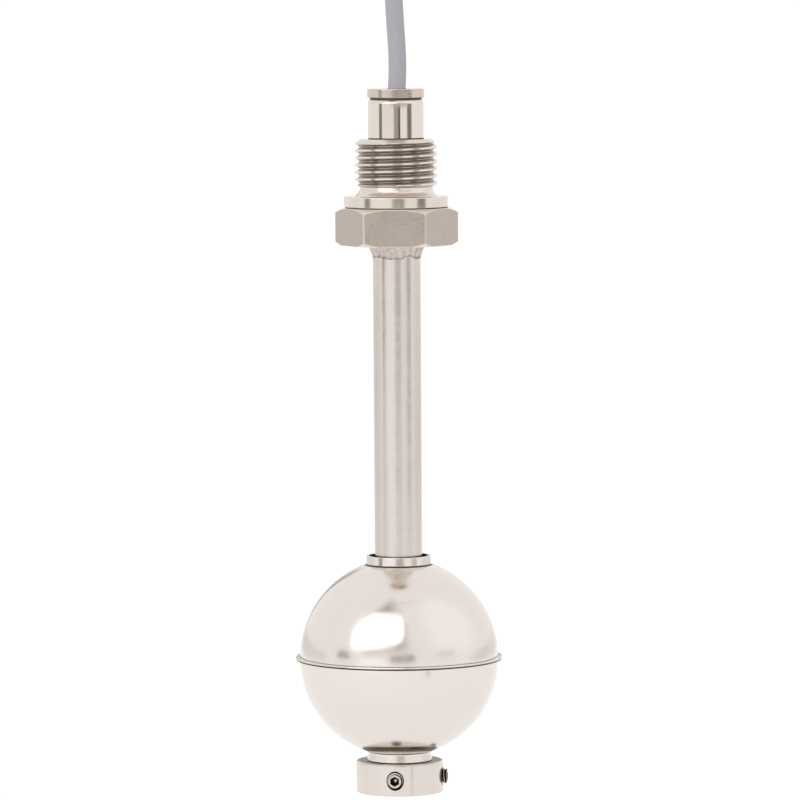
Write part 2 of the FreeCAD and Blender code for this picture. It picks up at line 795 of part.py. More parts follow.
def tube_along(points, diameter):
    """A round tube along straight runs joined by tangent arcs, each as large as its runs allow."""
    points = [FreeCAD.Vector(*point) for point in points]
    edges, radii, reached = [], [], points[0]
    for before, corner, after in zip(points, points[1:], points[2:]):
        into = (corner - before).normalize()
        out = (after - corner).normalize()
        turn = into.getAngle(out)
        cut = 0.45 * min((corner - before).Length, (after - corner).Length)
        radii.append(cut / math.tan(turn / 2))
        start, stop = corner - into * cut, corner + out * cut
        inward = (out - into).normalize()
        centre = corner + inward * (radii[-1] / math.cos(turn / 2))
        middle = centre - inward * radii[-1]
        edges.append(Part.LineSegment(reached, start).toShape())
        edges.append(Part.Arc(start, middle, stop).toShape())
        reached = stop
    edges.append(Part.LineSegment(reached, points[-1]).toShape())
    path = Part.Wire(edges)
    section = Part.Wire(Part.Circle(points[0], points[1] - points[0], diameter / 2).toShape())
    tube = path.makePipeShell([section], True, False)
    whole = math.pi * diameter**2 / 4 * path.Length
    print(f"tube of {path.Length:.1f} mm, smallest radius {min(radii):.1f} mm, "
          f"volume {tube.Volume / whole:.4f} of section times length")
    if abs(tube.Volume / whole - 1) > 0.01:
        raise RuntimeError("the tube's volume doesn't fit its length")
    return tube


def make_cable_hank():
    """Outer shape of the wound cable: an upright ring, as thick and wide as its turns, with round edges."""
    body = new_body("cable_hank")
    outline = new_sketch(body, "YZ_Plane", "hank_outline")
    top = "hank_middle + hank_run / 2"
    bottom = "hank_middle - hank_run / 2"
    for radius in (HANK_OUTER, HANK_INNER):
        closed_profile(
            outline,
            [
                (f"{HANK_AXIS} + {radius}", bottom),
                (f"{HANK_AXIS} + {radius}", top),
                (HANK_AXIS, f"{top} + {radius}"),
                (f"{HANK_AXIS} - {radius}", top),
                (f"{HANK_AXIS} - {radius}", bottom),
                (HANK_AXIS, f"{bottom} - {radius}"),
            ],
            {1: (radius, 1), 2: (radius, 1), 4: (radius, 1), 5: (radius, 1)},
        )
    pad = body.newObject("PartDesign::Pad", "hank_pad")
    pad.Profile = outline
    pad.setExpression("Length", bound("hank_lanes * cable_diameter"))
    pad.Midplane = True
    body.Tip = pad
    doc.recompute()
    half = number(HANK_HALF_WIDTH)
    rims = [
        f"Edge{index}"
        for index, edge in enumerate(body.Shape.Edges, start=1)
        if all(abs(abs(vertex.X) - half) < 1e-4 for vertex in edge.Vertexes)
        and abs(edge.CenterOfMass.x) > half / 2
    ]
    round_edges(body, "hank_rims", rims, "cable_diameter / 2")
    return body


def make_cable_tie():
    """Strap round the hank's waist, snug on its rounded edges."""
    body = new_body("cable_tie")
    outline = new_sketch(body, "XY_Plane", "tie_outline", "hank_middle - tie_width / 2")
    for grow in ("0", "tie_thickness"):
        half_x = f"({HANK_HALF_WIDTH} + {grow})"
        near = f"(hank_front - {grow})"
        far = f"(hank_front + 2 * {HANK_OUTER} + {grow})"
        corner = f"(cable_diameter / 2 + {grow})"
        closed_profile(
            outline,
            [
                (f"{half_x} - {corner}", near),
                (half_x, f"{near} + {corner}"),
                (half_x, f"{far} - {corner}"),
                (f"{half_x} - {corner}", far),
                (f"{corner} - {half_x}", far),
                (f"-{half_x}", f"{far} - {corner}"),
                (f"-{half_x}", f"{near} + {corner}"),
                (f"{corner} - {half_x}", near),
            ],
            {side: (corner, 1) for side in (0, 2, 4, 6)},
        )
    pad = body.newObject("PartDesign::Pad", "tie_pad")
    pad.Profile = outline
    pad.setExpression("Length", bound("tie_width"))
    body.Tip = pad
    doc.recompute()


def make_cable(hank):
    """Jacket from the resin to the hank, and its tail below the hank with two stripped cores."""
    diameter = number("cable_diameter")
    route = [list(point) for point in CABLE_ROUTE]
    route[0][2] = number(JACKET_END)
    cable = doc.addObject("Part::Feature", "cable")
    cable.Label = "cable"
    cable.Shape = tube_along(route, diameter).cut(hank.Shape)
    cable.Placement = FreeCAD.Placement()

    tail_x = number("cable_diameter / 3")
    tail_y = number(f"{HANK_AXIS} + {HANK_OUTER} / 2")
    hank_bottom = number(f"hank_middle - hank_run / 2 - {HANK_OUTER}")
    tail_end = hank_bottom - number("tail_length")
    depth = f"sqrt({HANK_BAND_MIDDLE} * {HANK_BAND_MIDDLE} - {HANK_OUTER} * {HANK_OUTER} / 4)"
    tail_top = number(f"hank_middle - hank_run / 2 - {depth}")  # inside the hank's lower fold
    straight = Part.makeCylinder(
        diameter / 2, tail_top - tail_end, FreeCAD.Vector(tail_x, tail_y, tail_end)
    )
    tail = doc.addObject("Part::Feature", "cable_tail")
    tail.Label = "cable_tail"
    tail.Shape = straight.cut(hank.Shape)
    tail.Placement = FreeCAD.Placement()
    for colour, side in (("brown", "-"), ("blue", "+")):
        x = f"{tail_x} {side} core_spacing / 2"
        foot = f"{tail_end} - core_strip_length"
        y = f"{tail_y}"
        make_rod(f"tail_core_{colour}", "core_diameter / 2", "core_strip_length", x, y, foot)
        strand_foot = f"{foot} - strand_length"
        make_rod(f"tail_strands_{colour}", "strand_diameter / 2", "strand_length", x, y, strand_foot)


# ---------------------------------------------------------------------------------------------------
# The whole switch
# ---------------------------------------------------------------------------------------------------

make_plug_body()
make_neck_sleeve()
make_cable_bush()
make_cable_seal()
make_resin_fill()
make_stem_tube()
make_weld_bead()
make_stem_end_disc()
make_stop_collar()
make_set_screw("set_screw_side", 0)
make_set_screw("set_screw_front", 1)
make_float_shell("float_upper_shell", "+")
make_float_shell("float_lower_shell", "-")
make_float_bore_tube()
make_float_seam_weld()
make_ring_magnet()
make_magnet_clip("magnet_clip_upper", "+")
make_magnet_clip("magnet_clip_lower", "-")
make_reed_carrier()
make_reed()
make_cores()
hank_body = make_cable_hank()
make_cable_tie()
make_cable(hank_body)
doc.recompute()

pieces = [
    item
    for item in doc.Objects
    if item.TypeId in ("PartDesign::Body", "Part::Feature", "Part::Box", "Part::Cylinder")
]
faults = [item.Name for item in doc.Objects if "Invalid" in item.State or "Error" in item.State]
faults += [piece.Label for piece in pieces if piece.Shape.isNull() or not piece.Shape.isValid()]
if faults:
    raise RuntimeError("faulty objects: " + ", ".join(faults))

os.makedirs("parts", exist_ok=True)
for piece in pieces:
    piece.Shape.exportStep(f"parts/{piece.Label}.step")
    print(f"{piece.Label}: {len(piece.Shape.Solids)} solid, {piece.Shape.Volume:.1f} mm3")
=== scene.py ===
import bpy
import bmesh
import math
from mathutils import Matrix, Vector


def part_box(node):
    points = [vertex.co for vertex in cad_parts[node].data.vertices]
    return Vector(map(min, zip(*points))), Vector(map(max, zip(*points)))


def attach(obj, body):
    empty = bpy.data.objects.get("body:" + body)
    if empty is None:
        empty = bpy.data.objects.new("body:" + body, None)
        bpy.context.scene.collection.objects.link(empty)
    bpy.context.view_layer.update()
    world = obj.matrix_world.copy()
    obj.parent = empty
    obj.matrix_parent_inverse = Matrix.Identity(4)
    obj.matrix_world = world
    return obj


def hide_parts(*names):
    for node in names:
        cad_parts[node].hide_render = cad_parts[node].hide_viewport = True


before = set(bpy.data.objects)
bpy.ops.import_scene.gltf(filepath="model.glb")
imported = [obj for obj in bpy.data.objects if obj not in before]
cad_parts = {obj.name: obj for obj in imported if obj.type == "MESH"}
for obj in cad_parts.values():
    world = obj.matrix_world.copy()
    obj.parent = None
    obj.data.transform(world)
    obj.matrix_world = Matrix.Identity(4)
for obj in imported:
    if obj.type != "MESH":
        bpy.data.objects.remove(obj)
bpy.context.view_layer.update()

# --- Plug body ---
# Hexagon, sealing disc, run-out groove and G1/2 thread, turned in one piece from stainless hexagon bar.
# The hexagon keeps the satin of the drawn bar, with its sharp edges broken; the disc and the thread are
# bright from the tool. It is bored through for the stem below and the neck sleeve above.

MM = 0.001
PLUG_LOW, PLUG_HIGH = (corner.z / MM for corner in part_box("plug_body"))
HEX_FLATS = 27.0
HEX_CORNER_TURN = math.radians(-2.5)
HEX_CORNER_ROUND = 0.5
HEX_TOP = -2.9
HEX_CHAMFER = math.tan(math.radians(30.0))
LOW_CROWN, TOP_CROWN = 14.0, 13.55  # radii at which the chamfers start, below and above
EDGE_BREAK = 0.16
EDGE_ROUND = 0.18
DISC_RADIUS = 13.1
FOOT_GAP, FOOT_STEP = 0.25, 0.2  # height and depth of the undercut between the hexagon and the disc
FACE_INNER = 10.55  # the sealing face's inner edge, from which a curve goes in to the groove
CURVE_RADIUS, CURVE_HEIGHT = 9.3, 1.15
GROOVE_RADIUS, GROOVE_TOP = 9.15, 2.3
RUN_OUT = 0.6  # height over which the thread comes out of the groove
THREAD_CREST = 10.4775
THREAD_ROOT = 9.3
END_RADIUS, END_CHAMFER = 8.9, 1.2
BRIGHT_END = 0.8  # of the thread's upper end that stays bright
SLEEVE_RADIUS = 7.0
SLEEVE_SEAT = 6.4
PASSAGE_RADIUS = 4.5
STEM_RADIUS = 6.0
SOCKET_FLOOR = -4.4
pipe_thread = {
    "pitch": 1.814,
    "crest_height": 12.38,  # of a crest over the +X axis
    "depth": THREAD_CREST - THREAD_ROOT,
    "crest_flat": 0.4,
    "flank": math.radians(27.5),
}


def softened(outline, steps=3, most=0.45, guard=0.05, most_guard=0.04):
    """The points of an outline of (radius, height, rounding) corners, each corner cut by a short curve.

    A curve takes up no more than a share of a side. Guard points just before and just after it keep the
    shading of the long faces flat.
    """
    points = []
    for index, (radius, height, rounding) in enumerate(outline):
        corner = Vector((radius, height))
        if not rounding:
            points.append(corner)
            continue
        ends, guards = [], []
        for other in (outline[index - 1], outline[(index + 1) % len(outline)]):
            side = Vector(other[:2]) - corner
            length = max(side.length, 1e-9)
            share = min(rounding / length, most)
            ends.append(corner + side * share)
            guards.append(corner + side * (share + min(guard / length, most_guard)))
        points.append(guards[0])
        for step in range(steps + 1):
            share = step / steps
            points.append(
                ends[0] * (1 - share) ** 2 + corner * (2 * share * (1 - share)) + ends[1] * share**2
            )
        points.append(guards[1])
    return points


def skin(shape, rings):
    """Faces between each ring of vertices and the next one."""
    for here, there in zip(rings, rings[1:]):
        for index in range(len(here)):
            follower = (index + 1) % len(here)
            shape.faces.new((here[index], there[index], there[follower], here[follower]))


def mesh_of(name, shape):
    """The mesh of a shape, which is then freed."""
    mesh = bpy.data.meshes.new(name)
    shape.to_mesh(mesh)
    shape.free()
    return mesh


def turned_mesh(name, outline_at, angles):
    """A closed mesh turned about Z; outline_at gives as many (radius, height) points at every angle."""
    shape = bmesh.new()
    columns = []
    for angle in angles:
        across, along = math.cos(angle), math.sin(angle)
        columns.append([
            shape.verts.new((point[0] * across * MM, point[0] * along * MM, point[1] * MM))
            for point in outline_at(angle)
        ])
    skin(shape, columns)
    bmesh.ops.remove_doubles(shape, verts=shape.verts, dist=1e-7)
    bmesh.ops.recalc_face_normals(shape, faces=shape.faces)
    return mesh_of(name, shape)


def full_turn(columns):
    """Angles of a full turn, with the first one again at the end."""
    return [math.tau * column / columns for column in range(columns + 1)]


def placed(name, data):
    """A new object in the scene."""
    made = bpy.data.objects.new(name, data)
    bpy.context.scene.collection.objects.link(made)
    return made


def add_piece(name, mesh, material, crease=32):
    """Put a mesh in the scene as a piece, smooth but for edges sharper than the crease, in degrees."""
    mesh.materials.clear()
    mesh.materials.append(material)
    mesh.polygons.foreach_set("use_smooth", [True] * len(mesh.polygons))
    mesh.set_sharp_from_angle(angle=math.radians(crease))
    return placed(name, mesh)


def refinish(piece, material, where):
    """Give another finish to the faces for which where is true; it gets their radius and height in mm."""
    piece.data.materials.append(material)
    for face in piece.data.polygons:
        if where(face.center.xy.length / MM, face.center.z / MM, face):
            face.material_index = len(piece.data.materials) - 1


def node(tree, kind, inputs=None, **settings):
    """A node of a tree with its settings, its inputs given as numbers or as sockets to link."""
    made = tree.nodes.new(kind)
    for name, setting in settings.items():
        setattr(made, name, setting)
    for key, given in (inputs or {}).items():
        if isinstance(given, bpy.types.NodeSocket):
            tree.links.new(given, made.inputs[key])
        else:
            made.inputs[key].default_value = given
    return made


def maths(tree, operation, first, second=0.0):
    """The result of a Math node on two numbers or sockets."""
    return node(tree, "ShaderNodeMath", {0: first, 1: second}, operation=operation).outputs[0]


def linear(red, green, blue):
    """A colour given as it looks on a screen, from 0 to 255, as the shaders take it."""
    return (*(((c / 255 + 0.055) / 1.055) ** 2.4 if c > 10 else c / 3294.6 for c in (red, green, blue)), 1.0)


CLOUD_SCALE = 140.0  # of the cloudiness under a grain
GRAIN_SHARE = 0.6  # of the grain in tint and gloss; the cloudiness has the rest


def new_finish(name, **sockets):
    """A material and its node tree, with sockets of its shader set by their names."""
    material = bpy.data.materials.new(name)
    material.use_nodes = True
    shader = material.node_tree.nodes["Principled BSDF"]
    for socket, value in sockets.items():
        shader.inputs[socket.replace("_", " ")].default_value = value
    return material, material.node_tree


def object_place(tree):
    """Where a point is on the object itself."""
    return node(tree, "ShaderNodeTexCoord").outputs["Object"]


def noise(tree, vector, scale, detail, **inputs):
    """An uneven pattern about 0.5 on a vector; with a W it is a four-dimensional one."""
    given = {"Vector": vector, "Scale": scale, "Detail": detail, **inputs}
    dimensions = "4D" if "W" in inputs else "3D"
    return node(tree, "ShaderNodeTexNoise", given, noise_dimensions=dimensions).outputs[0]


def about_z(tree, place):
    """The x, y and z of a place, its part across Z, and its distance from Z."""
    split = node(tree, "ShaderNodeSeparateXYZ", {0: place}).outputs
    flat = node(tree, "ShaderNodeCombineXYZ", {0: split[0], 1: split[1]}).outputs[0]
    reach = node(tree, "ShaderNodeVectorMath", {0: flat}, operation="LENGTH").outputs["Value"]
    return split, flat, reach


def grain_vector(tree, run, fine, long):
    """Object coordinates stretched so that a noise on them runs in rings about Z or in streaks along Z."""
    place = object_place(tree)
    if run == "streaks":
        return node(tree, "ShaderNodeMapping", {0: place, 3: (fine, fine, long)}).outputs[0]
    split, _, reach = about_z(tree, place)
    return node(tree, "ShaderNodeCombineXYZ", {
        0: maths(tree, "MULTIPLY", reach, fine),
        1: maths(tree, "MULTIPLY", split[2], fine),
        2: maths(tree, "MULTIPLY", split[0], long),
    }).outputs[0]


def relief(tree, strength, height, distance):
    """A bump of a strength and a depth from a pattern of heights."""
    return node(tree, "ShaderNodeBump", {"Strength": strength, "Distance": distance, "Height": height})


def follow(tree, pattern, bump, colour, shade, roughness, spread, ends=(0.3, 0.7)):
    """Let tint and roughness follow a pattern, by shares of their own values, over a bump."""
    tint = node(tree, "ShaderNodeValToRGB", {"Fac": pattern})
    for stop, place, level in zip(tint.color_ramp.elements, ends, (1 - shade, 1 + shade)):
        stop.position = place
        stop.color = (*(min(c * level, 1.0) for c in colour[:3]), 1.0)
    gloss = node(tree, "ShaderNodeMapRange", {
        "Value": pattern, "From Min": 0.3, "From Max": 0.7,
        "To Min": roughness * spread[0], "To Max": roughness * spread[1],
    })
    shader = tree.nodes["Principled BSDF"]
    for made, socket in ((tint, "Base Color"), (gloss, "Roughness"), (bump, "Normal")):
        tree.links.new(made.outputs[0], shader.inputs[socket])


def steel(name, colour, roughness, run="rings", fine=4000.0, long=60.0, bump=0.02, shade=0.06, waves=0.0):
    """Stainless steel whose tint, gloss and relief vary with a grain left by its making."""
    material, tree = new_finish(name, Metallic=1.0)
    grain = noise(tree, grain_vector(tree, run, fine, long), 1.0, 3.0, Roughness=0.6)
    cloud = noise(tree, object_place(tree), CLOUD_SCALE, 2.0)
    both = maths(tree, "ADD", maths(tree, "MULTIPLY", grain, GRAIN_SHARE),
                 maths(tree, "MULTIPLY", cloud, 1 - GRAIN_SHARE))
    skin_bump = relief(tree, bump, grain, 0.2 * MM)
    if waves:
        swell = relief(tree, waves, cloud, 1.0 * MM)
        tree.links.new(swell.outputs["Normal"], skin_bump.inputs["Normal"])
    follow(tree, both, skin_bump, colour, shade, roughness, (0.8, 1.2))
    return material


def hexagon_radius(angle):
    """How far the hexagon reaches at an angle, with its corners slightly rounded."""
    apothem = HEX_FLATS / 2
    off_flat = abs((angle - HEX_CORNER_TURN) % (math.pi / 3) - math.pi / 6)
    round_centre = (apothem - HEX_CORNER_ROUND) / math.cos(math.pi / 6)
    if apothem * math.tan(off_flat) <= round_centre / 2:
        return apothem / math.cos(off_flat)
    off_corner = math.pi / 6 - off_flat
    return round_centre * math.cos(off_corner) + math.sqrt(
        HEX_CORNER_ROUND**2 - (round_centre * math.sin(off_corner)) ** 2
    )


def thread_heights(angle, low, high, pitch, crest_height, depth, crest_flat, flank):
    """Heights of a helical grid that has rows on the crest's and the root's edges, held within the ends."""
    run = depth * math.tan(flank)
    stations = [-crest_flat / 2, 0.0, crest_flat / 2]
    stations += [crest_flat / 2 + run * step / 4 for step in range(1, 5)]
    root = pitch - crest_flat - 2 * run
    stations += [crest_flat / 2 + run + root * step / 3 for step in range(1, 4)]
    stations += [pitch - crest_flat / 2 - run * step / 4 for step in range(3, 0, -1)]
    first = math.floor((low - crest_height) / pitch) - 1
    last = math.ceil((high - crest_height) / pitch) + 1
    return [
        min(max(crest_height + pitch * (turn + angle / math.tau) + station, low), high)
        for turn in range(first, last)
        for station in stations
    ]


def sized_tree(name, sizes, counts=()):
    """A Geometry Nodes tree with an input for each size and count and for its material."""
    tree = bpy.data.node_groups.new(name, "GeometryNodeTree")
    inputs = [("Geometry", "Geometry")] + [(count, "Int") for count in counts]
    inputs += [(size, "Float") for size in sizes] + [("Material", "Material")]
    for socket, kind in inputs:
        tree.interface.new_socket(socket, in_out="INPUT", socket_type="NodeSocket" + kind)
    tree.interface.new_socket("Geometry", in_out="OUTPUT", socket_type="NodeSocketGeometry")
    return tree, tree.nodes.new("NodeGroupInput").outputs


def close_tree(tree, geometry, material):
    """End a tree in real geometry that has its finish on."""
    real = node(tree, "GeometryNodeRealizeInstances", {0: geometry})
    coated = node(tree, "GeometryNodeSetMaterial", {0: real.outputs[0], "Material": material})
    tree.links.new(coated.outputs[0], tree.nodes.new("NodeGroupOutput").inputs[0])
    return tree


def cut_thread_tree():
    """Geometry Nodes that cut a right-handed thread about Z into a turned blank."""
    tree, given = sized_tree("cut_thread", (
        "Pitch", "Crest Radius", "Root Radius", "Crest Height", "Crest Flat", "Flank Angle", "Low End",
        "High End"))
    split, flat, radius = about_z(tree, node(tree, "GeometryNodeInputPosition").outputs[0])
    around = maths(tree, "DIVIDE", maths(tree, "ARCTAN2", split[1], split[0]), math.tau)
    above = maths(tree, "SUBTRACT", split[2], given["Crest Height"])
    turns = maths(tree, "SUBTRACT", maths(tree, "DIVIDE", above, given["Pitch"]), around)
    from_crest = maths(tree, "MULTIPLY", maths(tree, "PINGPONG", turns, 0.5), given["Pitch"])
    beside = maths(tree, "SUBTRACT", from_crest, maths(tree, "MULTIPLY", given["Crest Flat"], 0.5))
    steep = maths(tree, "TANGENT", given["Flank Angle"])
    drop = maths(tree, "DIVIDE", maths(tree, "MAXIMUM", beside, 0.0), steep)
    flank = maths(tree, "SUBTRACT", given["Crest Radius"], drop)
    tooth = maths(tree, "MAXIMUM", flank, given["Root Radius"])
    cut = maths(tree, "MINIMUM", radius, tooth)
    threaded = maths(tree, "MULTIPLY",
                     maths(tree, "GREATER_THAN", split[2], given["Low End"]),
                     maths(tree, "LESS_THAN", split[2], given["High End"]))
    pull = maths(tree, "DIVIDE", cut, maths(tree, "MAXIMUM", radius, 1e-9))
    inward = node(tree, "ShaderNodeVectorMath", {0: flat, 3: pull}, operation="SCALE").outputs[0]
    upright = node(tree, "ShaderNodeCombineXYZ", {2: split[2]}).outputs[0]
    target = node(tree, "ShaderNodeVectorMath", {0: inward, 1: upright}, operation="ADD").outputs[0]
    moved = node(tree, "GeometryNodeSetPosition",
                 {"Geometry": given["Geometry"], "Selection": threaded, "Position": target})
    return close_tree(tree, moved.outputs[0], given["Material"])


def shaped_by(tree, mesh, inputs):
    """The plain mesh that a Geometry Nodes tree makes of a mesh, its inputs given by their names."""
    carrier = placed(mesh.name + "_carrier", mesh)
    modifier = carrier.modifiers.new(tree.name, "NODES")
    modifier.node_group = tree
    for socket in tree.interface.items_tree:
        if socket.in_out == "INPUT" and socket.name in inputs:
            modifier[socket.identifier] = inputs[socket.name]
    carrier.update_tag()
    shown = carrier.evaluated_get(bpy.context.evaluated_depsgraph_get())
    result = bpy.data.meshes.new_from_object(shown)
    carrier.modifiers.remove(modifier)
    bpy.data.objects.remove(carrier)
    result.name = mesh.name
    return result


def threaded(tree, mesh, thread, crest_radius, low, high, material):
    """A turned blank with a thread cut into it between two heights."""
    return shaped_by(tree, mesh, {
        "Pitch": thread["pitch"] * MM, "Crest Radius": crest_radius * MM,
        "Root Radius": (crest_radius - thread["depth"]) * MM,
        "Crest Height": thread["crest_height"] * MM, "Crest Flat": thread["crest_flat"] * MM,
        "Flank Angle": thread["flank"], "Low End": low * MM, "High End": high * MM,
        "Material": material,
    })


def plug_outline(angle):
    """Outline of the plug's blank at an angle: underside, flat, disc, groove, thread blank and bores."""
    reach = hexagon_radius(angle)
    low_crown = min(LOW_CROWN, reach - EDGE_BREAK)
    top_crown = min(TOP_CROWN, reach - EDGE_BREAK)
    below_thread = softened([
        (STEM_RADIUS, PLUG_LOW, 0),
        (low_crown, PLUG_LOW, 0.1),
        (reach, PLUG_LOW + (reach - low_crown) * HEX_CHAMFER, EDGE_ROUND),
        (reach, HEX_TOP - (reach - top_crown) * HEX_CHAMFER, EDGE_ROUND),
        (top_crown, HEX_TOP, 0.1),
        (DISC_RADIUS - FOOT_STEP, HEX_TOP, 0),
        (DISC_RADIUS - FOOT_STEP, HEX_TOP + FOOT_GAP, 0.05),
        (DISC_RADIUS, HEX_TOP + FOOT_GAP, 0.1),
        (DISC_RADIUS, 0.0, 0.22),
        (FACE_INNER, 0.0, 0.12),
        (CURVE_RADIUS, CURVE_HEIGHT, 1.1),
        (GROOVE_RADIUS, GROOVE_TOP, 0),
    ])
    above_thread = softened([
        (END_RADIUS, PLUG_HIGH, 0),
        (SLEEVE_RADIUS, PLUG_HIGH, 0),
        (SLEEVE_RADIUS, SLEEVE_SEAT, 0),
        (PASSAGE_RADIUS, SLEEVE_SEAT, 0),
        (PASSAGE_RADIUS, SOCKET_FLOOR, 0),
        (STEM_RADIUS, SOCKET_FLOOR, 0),
    ])
    blank = []
    for height in thread_heights(angle, GROOVE_TOP, PLUG_HIGH, **pipe_thread):
        rise = GROOVE_RADIUS + (height - GROOVE_TOP) / RUN_OUT * (THREAD_CREST - GROOVE_RADIUS)
        fall = END_RADIUS + (PLUG_HIGH - height) / END_CHAMFER * (THREAD_CREST - END_RADIUS)
        blank.append((min(rise, THREAD_CREST, fall), height))
    return below_thread + blank + above_thread


plug_angles = full_turn(240)
for corner in range(6):
    for aside in (-0.7, -0.45, -0.2, 0.2, 0.45, 0.7):
        plug_angles.append((HEX_CORNER_TURN + math.radians(60 * corner + aside)) % math.tau)
plug_angles = sorted(plug_angles)


def paint_root_shade(material, low, high, shade):
    """Darken a turned finish between two radii about Z with painted shade, darkest at the lower radius, as
    in a thread's roots.
    """
    tree = material.node_tree
    shader = tree.nodes["Principled BSDF"]
    clean = shader.inputs["Base Color"].links[0].from_socket
    depth = node(tree, "ShaderNodeMapRange", {
        "Value": about_z(tree, object_place(tree))[2],
        "From Min": low * MM, "From Max": high * MM, "To Min": shade, "To Max": 1.0,
    }).outputs[0]
    dull = node(tree, "ShaderNodeVectorMath", {0: clean, 3: depth}, operation="SCALE").outputs[0]
    tree.links.new(dull, shader.inputs["Base Color"])


def on_flat(reach, height, face):
    """Whether a face of the plug lies on a flat of the hexagon, off its corners and chamfers."""
    angle = math.atan2(face.center.y, face.center.x)
    off_corner = math.pi / 6 - abs((angle - HEX_CORNER_TURN) % (math.pi / 3) - math.pi / 6)
    return height < HEX_TOP and abs(face.normal.z) < 0.3 and off_corner > math.radians(1.0)


def in_foot_gap(reach, height, face):
    """Whether a face of the plug lies in the undercut below the disc."""
    return HEX_TOP + 0.01 < height < HEX_TOP + FOOT_GAP


def on_thread(reach, height, face):
    """Whether a face of the plug lies on the thread, below its bright end."""
    return GROOVE_TOP < height < PLUG_HIGH - BRIGHT_END and reach > GROOVE_RADIUS - 0.1


turned_steel = steel("turned_steel", linear(222, 212, 202), 0.14, bump=0.05, shade=0.05)
bar_steel = steel("bar_steel", linear(191, 178, 168), 0.3, run="streaks", fine=900.0, long=1600.0,
                  bump=0.12, shade=0.05)
# Painted shade: a dark finish laid on gaps and recesses where shade falls.
painted_shade_steel = steel("painted_shade_steel", linear(96, 84, 72), 0.45, bump=0.1, shade=0.2)
thread_steel = steel("thread_steel", linear(226, 216, 208), 0.17, bump=0.05, shade=0.1)
# Painted shade in the thread's roots, darkest at the root radius.
paint_root_shade(thread_steel, THREAD_ROOT, THREAD_CREST - 0.1, 0.5)
cut_thread = cut_thread_tree()
plug_blank = turned_mesh("plug", plug_outline, plug_angles)
plug = add_piece("plug", threaded(cut_thread, plug_blank, pipe_thread, THREAD_CREST, GROOVE_TOP - 0.1,
                                  PLUG_HIGH + 0.1, turned_steel), turned_steel)
refinish(plug, bar_steel, on_flat)
# Painted shade in the undercut between the hexagon and the disc.
refinish(plug, painted_shade_steel, in_foot_gap)
refinish(plug, thread_steel, on_thread)
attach(plug, "stem_assembly")
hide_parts("plug_body")

# --- Neck sleeve, cable bush, seal and resin ---
# A polished tube pressed into the plug's top, closed by a turned bush that guides the cable. Under the
# bush a rubber ring grips the cable, and cast resin fills the tube round the ends of the cores.

SLEEVE_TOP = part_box("neck_sleeve")[1].z / MM
SLEEVE_BORE = 5.5
TAPER_IN, TAPER_DOWN = 0.4, 0.7  # of the sleeve's upper rim
FOOT_SHADE = 0.3  # of painted shade round the foot of the sleeve, where it stands in the plug
BUSH_LOW, BUSH_TOP = (corner.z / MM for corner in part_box("cable_bush"))
BUSH_FOOT = SLEEVE_TOP + 0.5
BUSH_RADIUS = 7.175
JOINT_RADIUS = 6.55
CABLE_DIAMETER = 4.5
CABLE_RADIUS = CABLE_DIAMETER / 2
CABLE_ROOM = 0.35


def turned_piece(name, outline, material, columns=160):
    """A piece turned from one outline of (radius, height, rounding) corners."""
    points = softened(outline)
    return add_piece(name, turned_mesh(name, lambda angle: points, full_turn(columns)), material)


def plain(name, colour, roughness, scale=300.0, shade=0.12, bump=0.1, **sockets):
    """Rubber, plastic or resin with a fine uneven skin; other sockets of the shader are set by name."""
    material, tree = new_finish(name, **sockets)
    cloud = noise(tree, object_place(tree), scale, 4.0)
    pores = noise(tree, object_place(tree), scale * 12, 2.0)
    follow(tree, cloud, relief(tree, bump, pores, 0.1 * MM), colour, shade, roughness, (0.85, 1.15))
    return material


polished_steel = steel("polished_steel", linear(222, 213, 204), 0.07, run="streaks", fine=500.0, long=40.0,
                       bump=0.01, shade=0.03)
neck = turned_piece("neck_tube", [
    (SLEEVE_BORE, SLEEVE_SEAT, 0.1),
    (SLEEVE_RADIUS, SLEEVE_SEAT, 0.1),
    (SLEEVE_RADIUS, PLUG_HIGH + FOOT_SHADE, 0),
    (SLEEVE_RADIUS, SLEEVE_TOP - TAPER_DOWN, 0.2),
    (SLEEVE_RADIUS - TAPER_IN, SLEEVE_TOP, 0.12),
    (SLEEVE_BORE, SLEEVE_TOP, 0.05),
], polished_steel)
# Painted shade round the sleeve's foot, where it meets the plug's top face.
refinish(neck, painted_shade_steel, lambda reach, height, face: height < PLUG_HIGH + FOOT_SHADE)
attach(neck, "stem_assembly")
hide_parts("neck_sleeve")

cap_steel = steel("cap_steel", linear(206, 193, 182), 0.13, bump=0.06, shade=0.06)
bush = turned_piece("neck_bush", [
    (CABLE_RADIUS + CABLE_ROOM, BUSH_LOW, 0.1),
    (SLEEVE_BORE, BUSH_LOW, 0.1),
    (SLEEVE_BORE, SLEEVE_TOP, 0),
    (JOINT_RADIUS, SLEEVE_TOP, 0),
    (JOINT_RADIUS, BUSH_FOOT, 0),
    (BUSH_RADIUS, BUSH_FOOT, 0.15),
    (BUSH_RADIUS, BUSH_TOP, 0.15),
    (CABLE_RADIUS + CABLE_ROOM, BUSH_TOP, 0.3),
], cap_steel)
# Painted shade in the gap between the bush's flange and the sleeve's rim.
refinish(bush, painted_shade_steel, lambda reach, height, face:
         SLEEVE_TOP - 0.05 < height < BUSH_FOOT + 0.05 and reach > SLEEVE_BORE)
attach(bush, "stem_assembly")
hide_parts("cable_bush")


def coat(name, material):
    """Give a CAD node its finish."""
    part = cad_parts[name]
    part.data.materials.clear()
    part.data.materials.append(material)


coat("cable_seal", plain("seal_rubber", linear(44, 44, 46), 0.6, scale=900.0, shade=0.2))
coat("resin_fill", plain("potting_resin", linear(34, 34, 38), 0.22, scale=250.0, shade=0.25, bump=0.03,
                         Coat_Weight=0.4, Coat_Roughness=0.1))

# --- Stem and its weld ---
# Drawn stainless tube, 12 mm across, satin with faint streaks along it. It stands in the plug's socket
# and is welded to the hexagon's underside by a hand-made bead with a ragged foot; a disc closes its tip.

